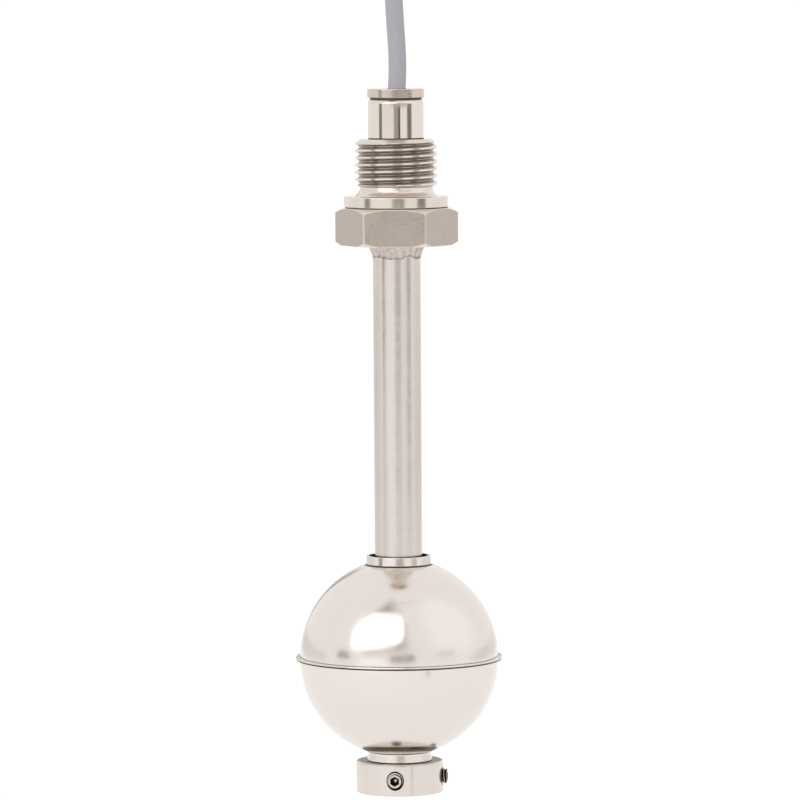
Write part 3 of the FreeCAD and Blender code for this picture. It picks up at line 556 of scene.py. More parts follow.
STEM_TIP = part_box("stem_tube")[0].z / MM
STEM_BORE = 5.0
STEM_CHAMFER = 0.3
BEAD_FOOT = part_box("weld_bead")[0].z / MM
BEAD_WIDTH = 1.05
BEAD_TOE = 0.05  # how far the bead's thin foot stands off the stem
BEAD_BITE = 0.02  # by which it reaches into the stem
BEAD_ROWS = 14
LUMP_SCALE, EDGE_SCALE = 420.0, 260.0
RIPPLE_BEND = 0.9  # how far the lumps push the ripples aside
RIPPLE_SHAPE, SAG_SHAPE = 0.6, 1.5  # powers of the ripples' swell and of the sag towards the foot

stem_steel = steel("stem_steel", linear(214, 206, 199), 0.24, run="streaks", fine=1500.0, long=14.0,
                   bump=0.03, shade=0.035, waves=0.12)
stem = turned_piece("stem", [
    (STEM_BORE, STEM_TIP, 0.1),
    (STEM_RADIUS - STEM_CHAMFER, STEM_TIP, 0.1),
    (STEM_RADIUS, STEM_TIP + STEM_CHAMFER, 0.15),
    (STEM_RADIUS, SOCKET_FLOOR, 0.1),
    (STEM_BORE, SOCKET_FLOOR, 0.1),
], stem_steel)
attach(stem, "stem_assembly")
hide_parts("stem_tube")
coat("stem_end_disc", steel("disc_steel", linear(205, 196, 188), 0.25, bump=0.05))


def weld_tree():
    """Geometry Nodes that lay overlapping ripples round a bead and make its lower edge ragged."""
    tree, given = sized_tree("weld_ripples", (
        "Ripples", "Ripple Height", "Raggedness", "Foot Height", "Top Height", "Stem Radius", "Seed"))
    place = node(tree, "GeometryNodeInputPosition").outputs[0]
    split, flat, radius = about_z(tree, place)
    around = maths(tree, "DIVIDE", maths(tree, "ARCTAN2", split[1], split[0]), math.tau)
    off_stem = maths(tree, "DIVIDE", maths(tree, "SUBTRACT", radius, given["Stem Radius"]), 0.4 * MM)
    proud = maths(tree, "MINIMUM", off_stem, 1.0)
    lumps = noise(tree, place, LUMP_SCALE, 2.0, W=given["Seed"])
    bent = maths(tree, "ADD", maths(tree, "MULTIPLY", around, given["Ripples"]),
                 maths(tree, "MULTIPLY", lumps, RIPPLE_BEND))
    scallop = maths(tree, "POWER", maths(tree, "PINGPONG", bent, 0.5), RIPPLE_SHAPE)
    swell = maths(tree, "MULTIPLY", maths(tree, "SUBTRACT", scallop, 0.35), given["Ripple Height"])
    lump = maths(tree, "MULTIPLY", maths(tree, "SUBTRACT", lumps, 0.5), given["Ripple Height"])
    push = maths(tree, "MULTIPLY", maths(tree, "ADD", swell, lump), proud)
    outward = node(tree, "ShaderNodeVectorMath", {
        0: node(tree, "ShaderNodeVectorMath", {0: flat}, operation="NORMALIZE").outputs[0], 3: push,
    }, operation="SCALE").outputs[0]
    depth = maths(tree, "DIVIDE", maths(tree, "SUBTRACT", given["Top Height"], split[2]),
                  maths(tree, "SUBTRACT", given["Top Height"], given["Foot Height"]))
    edge = noise(tree, flat, EDGE_SCALE, 3.0, W=given["Seed"])
    ragged = maths(tree, "MULTIPLY", maths(tree, "SUBTRACT", edge, 0.45), given["Raggedness"])
    sag = maths(tree, "MULTIPLY", ragged, maths(tree, "POWER", depth, SAG_SHAPE))
    offset = node(tree, "ShaderNodeVectorMath", {
        0: outward, 1: node(tree, "ShaderNodeCombineXYZ", {2: sag}).outputs[0],
    }, operation="ADD").outputs[0]
    moved = node(tree, "GeometryNodeSetPosition", {"Geometry": given["Geometry"], "Offset": offset})
    return close_tree(tree, moved.outputs[0], given["Material"])


weld_metal = steel("weld_metal", linear(196, 186, 178), 0.16, run="streaks", fine=1300.0, long=1300.0,
                   bump=1.0, shade=0.3)
weld_scale = steel("weld_scale", linear(158, 144, 136), 0.4, run="streaks", fine=1500.0, long=1500.0,
                   bump=0.6, shade=0.5)
bead_outline = [Vector((STEM_RADIUS - BEAD_BITE, PLUG_LOW)), Vector((STEM_RADIUS - BEAD_BITE, BEAD_FOOT))]
for row in range(BEAD_ROWS + 1):
    share = row / BEAD_ROWS
    radius = STEM_RADIUS + BEAD_TOE + BEAD_WIDTH * share**1.5
    bead_outline.append(Vector((radius, BEAD_FOOT * (1 - share) + PLUG_LOW * share)))
bead_mesh = shaped_by(weld_tree(), turned_mesh("weld", lambda angle: bead_outline, full_turn(360)), {
    "Ripples": 22.0, "Ripple Height": 0.6 * MM, "Raggedness": 3.0 * MM, "Foot Height": BEAD_FOOT * MM,
    "Top Height": PLUG_LOW * MM, "Stem Radius": (STEM_RADIUS + BEAD_BITE) * MM, "Seed": 7.0,
    "Material": weld_metal,
})
bead = add_piece("stem_weld", bead_mesh, weld_metal, crease=50)
refinish(bead, weld_scale, lambda reach, height, face: reach < STEM_RADIUS + 0.1)
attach(bead, "stem_assembly")
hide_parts("weld_bead")

# --- Reed contact ---
# A glass reed tube with tinned leads, held on a green board strip inside the stem, with the cable's two
# cores coming down to it. The closed stem hides them, so they keep the frame's own solids.

coat("reed_carrier", plain("glass_board", linear(70, 128, 84), 0.4, scale=500.0, shade=0.15))
coat("reed_glass", plain("reed_glass", linear(196, 222, 208), 0.08, scale=200.0, shade=0.05, bump=0.02,
                         Transmission_Weight=0.7, IOR=1.5))
for lead in ("reed_lead_upper", "reed_lead_lower"):
    coat(lead, steel("tinned_" + lead, linear(206, 203, 196), 0.3, run="streaks", fine=3000.0, long=300.0))
brown_core = plain("brown_core", linear(96, 58, 36), 0.38, scale=700.0, shade=0.1, bump=0.05)
blue_core = plain("blue_core", linear(42, 84, 160), 0.38, scale=700.0, shade=0.1, bump=0.05)
coat("core_brown", brown_core)
coat("core_blue", blue_core)

# --- Float ---
# Two half balls pressed from thin stainless sheet, with lips turned out round a bore tube and flanges
# welded together at the seam. The outside is mirror polished over a faintly uneven skin.

FLOAT_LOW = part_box("float_lower_shell")[0].z / MM
FLOAT_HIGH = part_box("float_upper_shell")[1].z / MM
FLOAT_CENTRE = (FLOAT_LOW + FLOAT_HIGH) / 2
BALL_RADIUS = 25.1
SHEET = 0.3
FLANGE_RADIUS = 25.85
FLOAT_BORE = 7.4
TUBE_RADIUS = 7.8
LIP_CORNER = 23.7  # height of the lip's inner corner over the seam
LIPS = {1: (8.25, 8.08), -1: (7.98, 8.26)}  # radii of a lip's root and rim, above and below
LIP_FILLET = 0.4
SHADE_BELOW, SHADE_ABOVE, SHADE_RADIUS = 0.12, 0.22, 8.6  # reach of the painted shade in the lip's corner
OUTER_ROWS, INNER_ROWS = 72, 24
SEAM_HALF, SEAM_PROUD = 0.42, 0.3


def mirror(name, colour, roughness):
    """Mirror-polished steel: faint cloudiness in its gloss and slow waves in its surface."""
    material, tree = new_finish(name, Metallic=1.0)
    slow = noise(tree, object_place(tree), 60.0, 1.5)
    haze = noise(tree, object_place(tree), 180.0, 4.0)
    follow(tree, haze, relief(tree, 0.12, slow, 1.0 * MM), colour, 0.015, roughness, (0.6, 1.5),
           ends=(0.25, 0.75))
    return material


def shell_outline(way):
    """Flange, ball, lip and inner wall of the upper (way 1) or lower (way -1) shell."""
    corners = [(BALL_RADIUS - SHEET, 0.0, 0), (FLANGE_RADIUS, 0.0, 0), (FLANGE_RADIUS, SHEET, 0.12)]
    root, rim = LIPS[way]
    start, stop = math.asin(SHEET / BALL_RADIUS), math.acos(root / BALL_RADIUS)
    for row in range(OUTER_ROWS + 1):
        angle = start + (stop - start) * row / OUTER_ROWS
        fillet = LIP_FILLET if row == OUTER_ROWS else 0
        corners.append((BALL_RADIUS * math.cos(angle), BALL_RADIUS * math.sin(angle), fillet))
    lip = (FLOAT_HIGH - FLOAT_LOW) / 2
    corners += [(rim, lip, 0.14), (TUBE_RADIUS, lip, 0.1)]
    inner = BALL_RADIUS - SHEET
    stop = math.acos(TUBE_RADIUS / inner)
    for row in range(INNER_ROWS):
        angle = stop * (1 - row / INNER_ROWS)
        corners.append((inner * math.cos(angle), inner * math.sin(angle), 0))
    return softened([
        (radius, FLOAT_CENTRE + way * height, rounding) for radius, height, rounding in corners
    ], steps=5)


def in_lip_corner(reach, height, face):
    """Whether a face of the upper shell lies in the corner between its ball and its lip."""
    rise = height - FLOAT_CENTRE - LIP_CORNER
    return -SHADE_BELOW < rise < SHADE_ABOVE and TUBE_RADIUS + 0.1 < reach < SHADE_RADIUS


float_steel = mirror("float_steel", linear(229, 221, 214), 0.17)
# Painted shade: a dark finish for the lip's corner and the seam's underside.
painted_shade_tint = steel("painted_shade_tint", linear(74, 66, 58), 0.35, bump=0.1, shade=0.2)
for name, cad_name, way in (
    ("float_top", "float_upper_shell", 1),
    ("float_bottom", "float_lower_shell", -1),
):
    outline = shell_outline(way)
    shell = add_piece(name, turned_mesh(name, lambda angle: outline, full_turn(256)), float_steel)
    # Painted dark reflection in the corner between the ball and the lip.
    refinish(shell, painted_shade_tint, in_lip_corner)
    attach(shell, "float")
    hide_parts(cad_name)

seam_points = [(FLANGE_RADIUS, FLOAT_CENTRE - SEAM_HALF, 0.05)]
for row in range(9):
    angle = math.pi * (row / 8 - 0.5)
    seam_points.append((FLANGE_RADIUS + SEAM_PROUD * math.cos(angle),
                        FLOAT_CENTRE + SEAM_HALF * math.sin(angle), 0))
seam_points.append((FLANGE_RADIUS, FLOAT_CENTRE + SEAM_HALF, 0.05))
seam_steel = mirror("seam_steel", linear(222, 214, 206), 0.09)
seam = turned_piece("float_seam", seam_points, seam_steel, columns=256)
# Painted shade on the seam's lower half, under its ridge.
refinish(seam, painted_shade_tint, lambda reach, height, face: height < FLOAT_CENTRE + 0.01)
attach(seam, "float")
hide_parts("float_seam_weld")

bore = turned_piece("float_tube", [
    (FLOAT_BORE, FLOAT_LOW, 0.12),
    (TUBE_RADIUS, FLOAT_LOW, 0.1),
    (TUBE_RADIUS, FLOAT_HIGH, 0.1),
    (FLOAT_BORE, FLOAT_HIGH, 0.12),
], steel("bore_steel", linear(214, 206, 198), 0.16, run="streaks", fine=900.0, long=30.0))
# Painted shade: the bore's inner wall is near black, as the deep gap round the stem looks in shadow.
painted_bore_shade = steel("painted_bore_shade", linear(34, 30, 27), 0.6, run="streaks", fine=900.0, shade=0.2)
refinish(bore, painted_bore_shade, lambda reach, height, face: reach < FLOAT_BORE + 0.06)
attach(bore, "float")
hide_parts("float_bore_tube")

coat("ring_magnet", plain("ferrite", linear(58, 58, 61), 0.7, scale=1500.0, shade=0.3, bump=0.3))
clip_steel = steel("clip_steel", linear(196, 188, 180), 0.25)
coat("magnet_clip_upper", clip_steel)
coat("magnet_clip_lower", clip_steel)

# --- Stop collar ---
# A turned ring that sets the float's lowest place. It is fine turned and slides on the stem until its
# two set screws, a quarter turn apart, are tightened; their holes have countersunk mouths.

COLLAR_LOW, COLLAR_TOP = (corner.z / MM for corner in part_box("stop_collar"))
COLLAR_RADIUS = 11.0
SCREW_HEIGHT = COLLAR_TOP - 4.0
SCREW_RADIUS = 2.0
MOUTH_RADIUS = 2.4
MOUTH_SLOPE = 0.35
DRILL_TOP = COLLAR_RADIUS + 2.0
SCREW_TURNS = {"front": math.radians(-96.2), "side": math.radians(-6.2)}


def to_side(mesh, turn):
    """Lay a mesh that stands on Z down along a horizontal line at this angle, at the screws' height."""
    mesh.transform(Matrix.Rotation(math.pi / 2, 4, "Y"))
    mesh.transform(Matrix.Rotation(turn, 4, "Z"))
    mesh.transform(Matrix.Translation((0, 0, SCREW_HEIGHT * MM)))
    return mesh


collar_steel = steel("collar_steel", linear(219, 211, 204), 0.2, bump=0.04, shade=0.03)
faced_painted_shade = steel("faced_painted_shade", linear(124, 117, 106), 0.3, bump=0.08, shade=0.08)
# Painted shade: a near-black finish for the screw holes' walls, passed to the collar by the cuts.
painted_recess_shade = steel("painted_recess_shade", linear(40, 35, 31), 0.4, bump=0.05, shade=0.2)
collar_points = softened([
    (STEM_RADIUS, COLLAR_LOW, 0.15),
    (COLLAR_RADIUS, COLLAR_LOW, 0.4),
    (COLLAR_RADIUS, COLLAR_TOP, 0.4),
    (STEM_RADIUS, COLLAR_TOP, 0.15),
])
drill_points = softened([
    (0.0, STEM_RADIUS / 2, 0),
    (SCREW_RADIUS, STEM_RADIUS / 2, 0),
    (SCREW_RADIUS, COLLAR_RADIUS - 0.45, 0.1),
    (MOUTH_RADIUS, COLLAR_RADIUS - 0.05, 0.08),
    (MOUTH_RADIUS + MOUTH_SLOPE, COLLAR_RADIUS + 0.3, 0),
    (MOUTH_RADIUS + MOUTH_SLOPE, DRILL_TOP, 0),
    (0.0, DRILL_TOP, 0),
])
collar_mesh = turned_mesh("collar", lambda angle: collar_points, full_turn(192))
collar = add_piece("stop_ring", collar_mesh, collar_steel)
# A faced top; its dark tone is painted shade from the float resting on it.
refinish(collar, faced_painted_shade, lambda reach, height, face: height > COLLAR_TOP - 0.02)
drills = []
for side, turn in SCREW_TURNS.items():
    drill_mesh = turned_mesh("drill", lambda angle: drill_points, full_turn(64))
    drill = add_piece("drill_" + side, to_side(drill_mesh, turn), painted_recess_shade)
    hole = collar.modifiers.new("hole_" + side, "BOOLEAN")
    hole.operation = "DIFFERENCE"
    hole.material_mode = "TRANSFER"
    hole.object = drill
    drills.append(drill)
bored = bpy.data.meshes.new_from_object(collar.evaluated_get(bpy.context.evaluated_depsgraph_get()))
collar.modifiers.clear()
collar.data = bored
bored.set_sharp_from_angle(angle=math.radians(28))
for drill in drills:
    bpy.data.objects.remove(drill)
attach(collar, "stem_assembly")
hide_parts("stop_collar")

# --- Set screws ---
# Two M4 socket set screws of plain stainless steel, their points on the stem and their ends just proud
# of the collar, so that a turn of thread shows round each one.

SCREW_POINT = STEM_RADIUS
SCREW_END = 12.1
SOCKET_FLATS = 2.0
SOCKET_DEPTH = 2.5
SCREW_CHAMFER = 0.35
POINT_RADIUS = 1.25
SOCKET_BREAK = 0.1
screw_thread = {
    "pitch": 0.7,
    "crest_height": SCREW_POINT,
    "depth": 0.38,
    "crest_flat": 0.08,
    "flank": math.radians(30.0),
}


def screw_outline(angle):
    """Outline of the screw's blank at an angle: point, thread blank, end face and hexagon socket."""
    socket = SOCKET_FLATS / 2 / math.cos(angle % (math.pi / 3) - math.pi / 6)
    floor = SCREW_END - SOCKET_DEPTH
    blank = [
        (min(POINT_RADIUS + height - SCREW_POINT, SCREW_RADIUS,
             SCREW_RADIUS + SCREW_END - height - SCREW_CHAMFER), height)
        for height in thread_heights(angle, SCREW_POINT, SCREW_END, **screw_thread)
    ]
    face = softened([
        (SCREW_RADIUS - SCREW_CHAMFER, SCREW_END, 0),
        (socket + SOCKET_BREAK, SCREW_END, 0),
        (socket, SCREW_END - SOCKET_BREAK, 0),
        (socket, floor, 0),
        (0.5, floor - 0.2, 0),
        (0.0, floor - 0.4, 0),
        (0.0, SCREW_POINT, 0),
    ])
    return blank + face


def in_recess(reach, height, face):
    """Whether a face of a screw lies in its socket or thread, off its end, its crests and the floor."""
    on_end = height > SCREW_END - 0.02
    on_crest = reach > SCREW_RADIUS - 0.3 and height < SCREW_END - 0.55
    on_floor = reach < 0.4 and height < SCREW_END - SOCKET_DEPTH + 0.1
    return not (on_end or on_crest or on_floor)


screw_steel = steel("screw_steel", linear(205, 194, 183), 0.22, run="streaks", fine=900.0, long=900.0,
                    bump=0.06, shade=0.08)
for side, turn in SCREW_TURNS.items():
    screw_blank = turned_mesh("screw_" + side, screw_outline, full_turn(96))
    screw = add_piece("screw_" + side, threaded(cut_thread, screw_blank, screw_thread, SCREW_RADIUS, 0.0,
                                                SCREW_END - 0.01, screw_steel), screw_steel)
    # Painted shade in each screw's socket and thread roots.
    refinish(screw, painted_recess_shade, in_recess)
    to_side(screw.data, turn)
    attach(screw, "stem_assembly")
    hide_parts("set_screw_" + side)

# --- Cable ---
# One metre of grey round cable with two cores. It rises out of the bush with a slight lean, comes over
# in one arch and is put away behind the float's path as an upright hank, with a short tail below it.

HANK_AXIS = 50.25  # distance of the folds' centres behind the stem
HANK_TOP = -5.0
HANK_BOTTOM = -75.0
HANK_LANE = 2.25
HANK_OUTER = 18.0
HANK_INNER = 13.5
TAIL_END = -120.25

cable_points = [
    (0.0, 0.0, 14.8),
    (0.0, 0.0, 23.5),
    (0.6, 0.0, 33.0),
    (-0.15, 0.0, 44.5),
    (-1.0, 0.0, 61.0),
    (-1.1, 11.8, 77.3),
    (-1.1, 31.0, 83.5),
    (-1.1, 50.2, 77.3),
    (-1.0, 62.0, 61.0),
    (-0.15, 62.2, 44.5),
    (0.6, 62.0, 31.5),
    (0.1, 62.4, 21.5),
    (-1.5, 64.6, 9.5),
    (-2.25, 67.6, -3.5),
]
# The hank's turns, one entry a half turn: end of the hank, lane and radius where the half turn ends.
HALF_TURNS = [
    ("bottom", -1, HANK_OUTER),
    ("top", -1, HANK_INNER),
    ("bottom", -1, HANK_INNER),
    ("top", 1, HANK_INNER),
    ("bottom", 1, HANK_OUTER),
    ("top", 1, HANK_OUTER),
]
FOLD_STEPS = 7
lane, radius, side = -1, HANK_OUTER, 1
for end, next_lane, next_radius in HALF_TURNS:
    centre = HANK_BOTTOM if end == "bottom" else HANK_TOP
    start = HANK_TOP if end == "bottom" else HANK_BOTTOM
    for share in (0.22, 0.5, 0.78):
        cable_points.append((lane * HANK_LANE, HANK_AXIS + side * radius, start + (centre - start) * share))
    for step in range(FOLD_STEPS):
        share = (step + 0.5) / FOLD_STEPS
        angle = math.pi * share
        reach = (radius + (next_radius - radius) * share) / math.cos(math.pi / FOLD_STEPS / 2)
        down = -1 if end == "bottom" else 1
        drift = lane + (next_lane - lane) * share
        cable_points.append((
            drift * HANK_LANE,
            HANK_AXIS + side * reach * math.cos(angle),
            centre + down * reach * math.sin(angle),
        ))
    lane, radius, side = next_lane, next_radius, -side
cable_points += [
    (2.25, 68.25, -20.0),
    (2.25, 68.25, -42.0),
    (2.25, 68.25, -64.0),
    (2.25, 67.9, -80.0),
    (2.1, 65.6, -88.0),
    (1.8, 61.8, -95.0),
    (1.5, 60.4, -103.0),
    (1.5, 60.4, TAIL_END),
]

cable_line = bpy.data.curves.new("cable_line", "CURVE")
cable_line.dimensions = "3D"
cable_line.bevel_depth = CABLE_RADIUS * MM
cable_line.bevel_resolution = 7
cable_line.use_fill_caps = True
cable_line.resolution_u = 6
run = cable_line.splines.new("NURBS")
run.points.add(len(cable_points) - 1)
for point, place in zip(run.points, cable_points):
    point.co = (*(value * MM for value in place), 1.0)
run.order_u = 3
run.use_endpoint_u = True
jacket = plain("cable_jacket", linear(187, 186, 194), 0.42, scale=260.0, shade=0.025, bump=0.04)
cable_line.materials.append(jacket)
cord = placed("cord", cable_line)
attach(cord, "stem_assembly")
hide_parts("cable", "cable_hank", "cable_tail")

# --- Tie ---
# A black hook-and-loop strap round the hank's waist. It lies close on the four runs, is drawn in a
# little between them, and its end laps over itself on one side.

TIE_LOW, TIE_HIGH = (corner.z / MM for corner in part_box("cable_tie"))
STRAP = 0.8
STRAP_PINCH = 1.2
STRAP_EDGE = 0.25
STRAP_ROOM = 0.02  # between the strap and the runs
LAP_ROOM = 0.05
SIDE_STEPS, CORNER_STEPS = 24, 8


def strap_path(offset, first, last):
    """Points along the strap's loop, this far out from the runs, between two shares of the loop."""
    corner = CABLE_RADIUS + STRAP_ROOM + offset
    front, rear = HANK_AXIS - HANK_OUTER, HANK_AXIS + HANK_OUTER
    points = []
    for side, start, stop in ((1, front, rear), (-1, rear, front)):
        for step in range(SIDE_STEPS + 1):
            share = step / SIDE_STEPS
            pinch = STRAP_PINCH * math.sin(math.pi * share) ** 2
            points.append(Vector((side * (HANK_LANE + corner - pinch), start + (stop - start) * share)))
        for turn in (0, 1):
            centre = Vector((side * HANK_LANE * (1 - 2 * turn), stop))
            for step in range(1, CORNER_STEPS + 1):
                angle = math.pi / 2 * (turn + step / CORNER_STEPS)
                points.append(centre + side * corner * Vector((math.cos(angle), math.sin(angle))))
    return points[round(first * len(points)):round(last * len(points))]


def strap_mesh(name, path, thick, closed):
    """A strap along a path in plan, from its inner face outwards, with rounded edges."""
    shape = bmesh.new()
    edge = STRAP_EDGE
    section = [(0.0, TIE_LOW + edge), (edge, TIE_LOW), (thick - edge, TIE_LOW), (thick, TIE_LOW + edge),
               (thick, TIE_HIGH - edge), (thick - edge, TIE_HIGH), (edge, TIE_HIGH), (0.0, TIE_HIGH - edge)]
    rings = []
    for index, point in enumerate(path):
        ahead = path[(index + 1) % len(path)] if closed or index + 1 < len(path) else point
        behind = path[index - 1] if closed or index else point
        along = (ahead - behind).normalized()
        outward = Vector((along.y, -along.x))
        rings.append([
            shape.verts.new(((point.x + outward.x * out) * MM, (point.y + outward.y * out) * MM, up * MM))
            for out, up in section
        ])
    skin(shape, rings + rings[:1] if closed else rings)
    if not closed:
        shape.faces.new(rings[0])
        shape.faces.new(rings[-1])
    bmesh.ops.recalc_face_normals(shape, faces=shape.faces)
    return mesh_of(name, shape)


tie_fabric = plain("tie_fabric", linear(47, 47, 50), 0.8, scale=1500.0, shade=0.35, bump=0.7,
                   Sheen_Weight=0.3)
tie_loop = strap_mesh("tie_strap", strap_path(0.0, 0.0, 1.0), STRAP, True)
tie_end = strap_mesh("tie_lap", strap_path(STRAP + LAP_ROOM, 0.04, 0.29), STRAP, False)
for name, mesh in (("tie_strap", tie_loop), ("tie_lap", tie_end)):
    strap = add_piece(name, mesh, tie_fabric, crease=50)
    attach(strap, "stem_assembly")
    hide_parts("cable_tie")

# --- Stripped cores and strands ---
# At the tail's end the jacket is cut back from a brown and a blue core, and each core from its seven
# bare copper wires, which keep the twist of their lay.

CORE_RADIUS = 0.7
WIRE_RADIUS = 0.13


def strands_tree():
    """Geometry Nodes that lay wires in a helix round a straight one, standing on the origin."""
    tree, given = sized_tree("strands", ("Wire Radius", "Length", "Turns"), counts=("Outer Wires",))
    lay = maths(tree, "MULTIPLY", given["Wire Radius"], 2.0)
    helix = node(tree, "GeometryNodeCurveSpiral", {
        "Resolution": 40, "Rotations": given["Turns"], "Start Radius": lay, "End Radius": lay,
        "Height": given["Length"]})
    stand = node(tree, "GeometryNodeMeshLine", {"Count": given["Outer Wires"], "Offset": (0.0, 0.0, 0.0)})
    share = maths(tree, "DIVIDE", node(tree, "GeometryNodeInputIndex").outputs[0], given["Outer Wires"])
    spin = node(tree, "ShaderNodeCombineXYZ", {2: maths(tree, "MULTIPLY", share, math.tau)})
    around = node(tree, "GeometryNodeInstanceOnPoints", {
        "Points": stand.outputs[0], "Instance": helix.outputs[0], "Rotation": spin.outputs[0]})
    tip = node(tree, "ShaderNodeCombineXYZ", {2: given["Length"]})
    straight = node(tree, "GeometryNodeCurvePrimitiveLine", {"End": tip.outputs[0]})
    bundle = node(tree, "GeometryNodeJoinGeometry")
    real_wires = node(tree, "GeometryNodeRealizeInstances", {0: around.outputs[0]})
    tree.links.new(real_wires.outputs[0], bundle.inputs[0])
    tree.links.new(straight.outputs[0], bundle.inputs[0])
    profile = node(tree, "GeometryNodeCurvePrimitiveCircle", {
        "Resolution": 10, "Radius": given["Wire Radius"]})
    wires = node(tree, "GeometryNodeCurveToMesh", {
        "Curve": bundle.outputs[0], "Profile Curve": profile.outputs[0], "Fill Caps": True})
    return close_tree(tree, wires.outputs[0], given["Material"])


copper = steel("copper", linear(214, 148, 108), 0.22, run="streaks", fine=2000.0, long=2000.0, shade=0.1)
strands = strands_tree()
for colour, finish in (("brown", brown_core), ("blue", blue_core)):
    low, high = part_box("tail_core_" + colour)
    middle = (low + high) / 2
    core = turned_piece("stripped_core_" + colour, [
        (0.0, low.z / MM, 0),
        (CORE_RADIUS, low.z / MM, 0.08),
        (CORE_RADIUS, high.z / MM, 0.08),
        (0.0, high.z / MM, 0),
    ], finish, columns=24)
    core.data.transform(Matrix.Translation((middle.x, middle.y, 0)))
    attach(core, "stem_assembly")
    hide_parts("tail_core_" + colour)

    foot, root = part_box("tail_strands_" + colour)
    wire_mesh = shaped_by(strands, bpy.data.meshes.new("wires_" + colour), {
        "Outer Wires": 6, "Wire Radius": WIRE_RADIUS * MM, "Length": root.z - foot.z, "Turns": 0.75,
        "Material": copper,
    })
    wire_mesh.transform(Matrix.Translation((middle.x, middle.y, foot.z)))
    wires = add_piece("wires_" + colour, wire_mesh, copper, crease=50)
    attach(wires, "stem_assembly")
    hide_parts("tail_strands_" + colour)

# --- Studio ---
# A white floor and a white tent with a soft box over the camera. Soft-edged cards that only the steel
# shows stand round the part: dark gaps of the tent, its greyer side walls, and small ones close by that
# darken one piece or screen the ball from a gap.

FLOOR_HEIGHT = -0.2
FLOOR_HALF = 30.0
TOP_FADE = 0.006
CORE_SHARE = 0.45  # of a strip's half width that has its full tone
WHITE = (1.0, 1.0, 1.0, 1.0)


def seen_directly(tree):
    """1 for a ray from the camera or off a mirror or glass, 0 for the soft light on the object."""
    ray = tree.nodes.new("ShaderNodeLightPath").outputs
    shown = maths(tree, "ADD", ray["Is Glossy Ray"], ray["Is Transmission Ray"])
    return maths(tree, "MINIMUM", maths(tree, "ADD", ray["Is Camera Ray"], shown), 1.0)


world = bpy.data.worlds.new("tent")
world.use_nodes = True
bpy.context.scene.world = world
sky = world.node_tree
background = sky.nodes["Background"]
background.inputs["Color"].default_value = WHITE
strength = node(sky, "ShaderNodeMapRange", {"Value": seen_directly(sky), "To Min": 0.8, "To Max": 1.0})
sky.links.new(strength.outputs["Result"], background.inputs["Strength"])

paper, tree = new_finish("paper", Base_Color=(0.5, 0.5, 0.5, 1.0), Roughness=0.9)
sheet = tree.nodes["Principled BSDF"]
glow = node(tree, "ShaderNodeEmission", {"Strength": 0.59})
lit = node(tree, "ShaderNodeAddShader", {0: sheet.outputs[0], 1: glow.outputs[0]})
choice = node(tree, "ShaderNodeMixShader", {0: seen_directly(tree), 1: sheet.outputs[0], 2: lit.outputs[0]})
tree.links.new(choice.outputs[0], tree.nodes["Material Output"].inputs["Surface"])

floor_mesh = bpy.data.meshes.new("floor")
floor_mesh.from_pydata([
    (side * FLOOR_HALF, end * FLOOR_HALF, FLOOR_HEIGHT)
    for side, end in ((-1, -1), (1, -1), (1, 1), (-1, 1))
], [], [(0, 1, 2, 3)])
floor_mesh.materials.append(paper)
floor = placed("floor", floor_mesh)


def tent_card(name, mesh, strength, colour, mask_from, lights=False):
    """A card that glossy rays see, and diffuse ones where it lights; mask_from works out its mask."""
    material, tree = new_finish(name)
    tree.nodes.remove(tree.nodes["Principled BSDF"])
    clear = node(tree, "ShaderNodeBsdfTransparent")
    cloth = node(tree, "ShaderNodeEmission", {"Color": colour, "Strength": strength})
    mixed = node(tree, "ShaderNodeMixShader", {
        0: mask_from(tree), 1: clear.outputs[0], 2: cloth.outputs[0]})
    tree.links.new(mixed.outputs[0], tree.nodes["Material Output"].inputs["Surface"])
    mesh.materials.append(material)
    card = placed(name, mesh)
    card.visible_camera = False
    card.visible_shadow = False
    card.visible_diffuse = lights


def eased(tree, value, low, high):
    """0 below low and 1 above high, with a smooth rise between."""
    return node(tree, "ShaderNodeMapRange", {"Value": value, "From Min": low, "From Max": high},
                interpolation_type="SMOOTHSTEP").outputs[0]


def tent_strip(name, azimuth, width, level, low=-0.14, high=0.014, fade=0.06, distance=0.9):
    """An upright strip of the tent that is darker or brighter than the rest, fading out at its foot.

    Azimuth and width are in degrees, with 0 in front and 90 on the right.
    """
    turn = math.radians(azimuth)
    centre = Vector((math.sin(turn) * distance, -math.cos(turn) * distance, 0))
    half = distance * math.tan(math.radians(width / 2))
    across = Vector((math.cos(turn), math.sin(turn), 0)) * half
    mesh = bpy.data.meshes.new(name)
    mesh.from_pydata([
        centre + across * side + Vector((0, 0, height))
        for side, height in ((-1, low), (1, low), (1, high), (-1, high))
    ], [], [(0, 1, 2, 3)])

    def mask(tree):
        turned = node(tree, "ShaderNodeVectorRotate", {"Vector": object_place(tree), "Angle": -turn})
        split = node(tree, "ShaderNodeSeparateXYZ", {0: turned.outputs[0]}).outputs
        beside = eased(tree, maths(tree, "ABSOLUTE", split[0]), half, half * CORE_SHARE)
        above = maths(tree, "MULTIPLY", eased(tree, split[2], low, low + fade),
                      eased(tree, split[2], high, high - TOP_FADE))
        return maths(tree, "MULTIPLY", beside, above)

    tent_card(name, mesh, 1.0, (level, level**1.06, level**1.12, 1.0), mask)


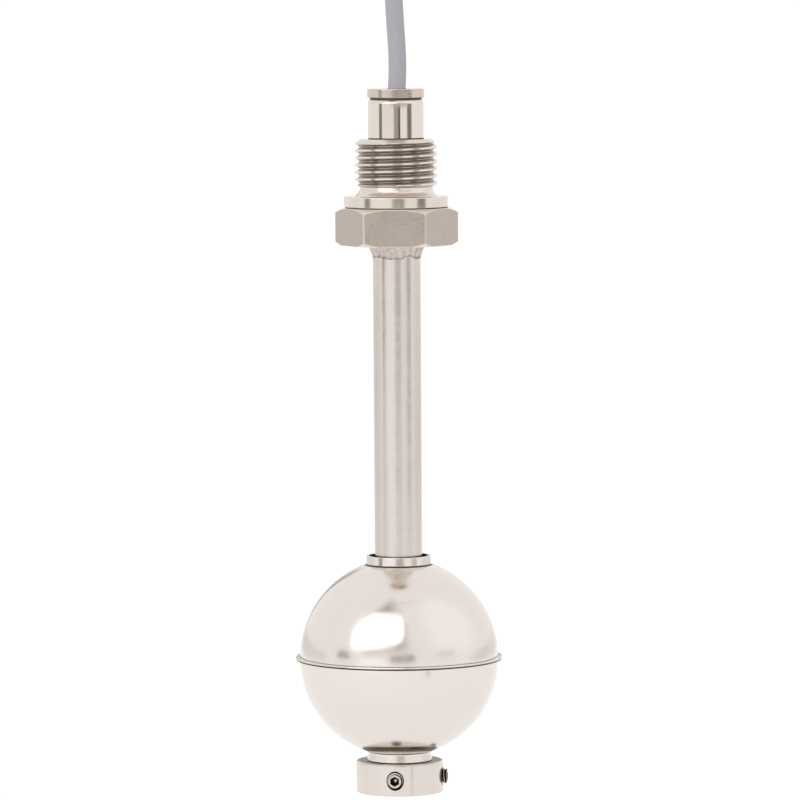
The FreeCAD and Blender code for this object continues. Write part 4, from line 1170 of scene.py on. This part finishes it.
def sky_patch(name, corners, distance, strength, colour, edge, lights=False):
    """A soft-edged patch of the tent, its corners in degrees of azimuth and elevation from the ball."""
    outline = [Vector(corner) for corner in corners]
    for cut in (0.15, 0.25):
        cut_outline = []
        for here, there in zip(outline, outline[1:] + outline[:1]):
            cut_outline += [here.lerp(there, cut), here.lerp(there, 1 - cut)]
        outline = cut_outline
    middle = sum(outline, Vector((0, 0))) / len(outline)
    shape = bmesh.new()
    depth = shape.verts.layers.float.new("depth")
    rings = []
    for share in (1.0, 0.8, 0.6, 0.3):
        ring = []
        for point in outline:
            azimuth, lift = (math.radians(value) for value in middle.lerp(point, share))
            vert = shape.verts.new(Vector((0, 0, FLOAT_CENTRE * MM)) + distance * Vector((
                math.sin(azimuth) * math.cos(lift), -math.cos(azimuth) * math.cos(lift), math.sin(lift))))
            vert[depth] = 1 - share
            ring.append(vert)
        rings.append(ring)
    for outer, inner in zip(rings, rings[1:]):
        for index in range(len(outer)):
            follower = (index + 1) % len(outer)
            shape.faces.new((outer[index], outer[follower], inner[follower], inner[index]))
    shape.faces.new(rings[-1])
    tent_card(name, mesh_of(name, shape), strength, colour, lambda tree: eased(
        tree, node(tree, "ShaderNodeAttribute", attribute_name="depth").outputs["Fac"], 0.0, edge), lights)


tent_strip("gap_left", -67.5, 20, 0.25)
tent_strip("gap_middle", 4, 36, 0.42)
tent_strip("gap_right", 57, 28, 0.25)
tent_strip("gap_stand", 13, 9, 0.03, low=-0.03, fade=0.01, distance=0.88)
tent_strip("gap_back_left", -165, 10, 0.45, high=0.25)
tent_strip("gap_back", -178, 20, 0.5)
tent_strip("gap_low", 32.4, 4, 0.3, low=-0.199, high=-0.166, fade=0.002, distance=0.3)
tent_strip("gap_cap", 17, 84, 0.6, low=0.0209, high=0.034, fade=0.0006, distance=0.06)
tent_strip("screen_right", 57, 56, 1.0, low=-0.145, high=-0.085, fade=0.01, distance=0.25)
tent_strip("screen_left", -67.5, 44, 1.0, low=-0.145, high=-0.103, fade=0.01, distance=0.25)
tent_strip("wall_left", -128, 84, 0.83, low=-0.19, high=-0.062, fade=0.02)
tent_strip("wall_right", 122, 84, 0.86, low=-0.19, high=-0.062, fade=0.02)
tent_strip("wall_bright", -30, 46, 1.2, low=-0.19, high=-0.05, fade=0.04, distance=0.89)

sky_patch("soft_box", [(-50, 57), (10, 59), (8, 22), (-30, 13), (-60, 9), (-66, 33)], 0.8, 1.7,
          WHITE, 0.12, lights=True)
sky_patch("box_frame", [(-34, 88), (12, 66), (18, 30), (18, 6), (-66, 4), (-62, 40)], 0.84, 0.5,
          (1.0, 0.95, 0.9, 1.0), 0.5)
sky_patch("far_wall", [(25, 70), (100, 75), (120, 20), (100, -5), (30, 5)], 1.2, 1.1, WHITE, 0.5)

LOOK_DOWN = math.radians(4.25)
CAMERA_ROLL = math.radians(0.33)
camera_data = bpy.data.cameras.new("camera")
camera_data.sensor_width = 36.0
camera_data.lens = 274.5
camera_data.clip_end = 100.0
camera = placed("camera", camera_data)
camera.location = (0.00125, -1.536, 0.0626)
camera.rotation_euler = (math.pi / 2 - LOOK_DOWN, CAMERA_ROLL, 0)
bpy.context.scene.camera = camera
bpy.context.scene.view_settings.view_transform = "Standard"
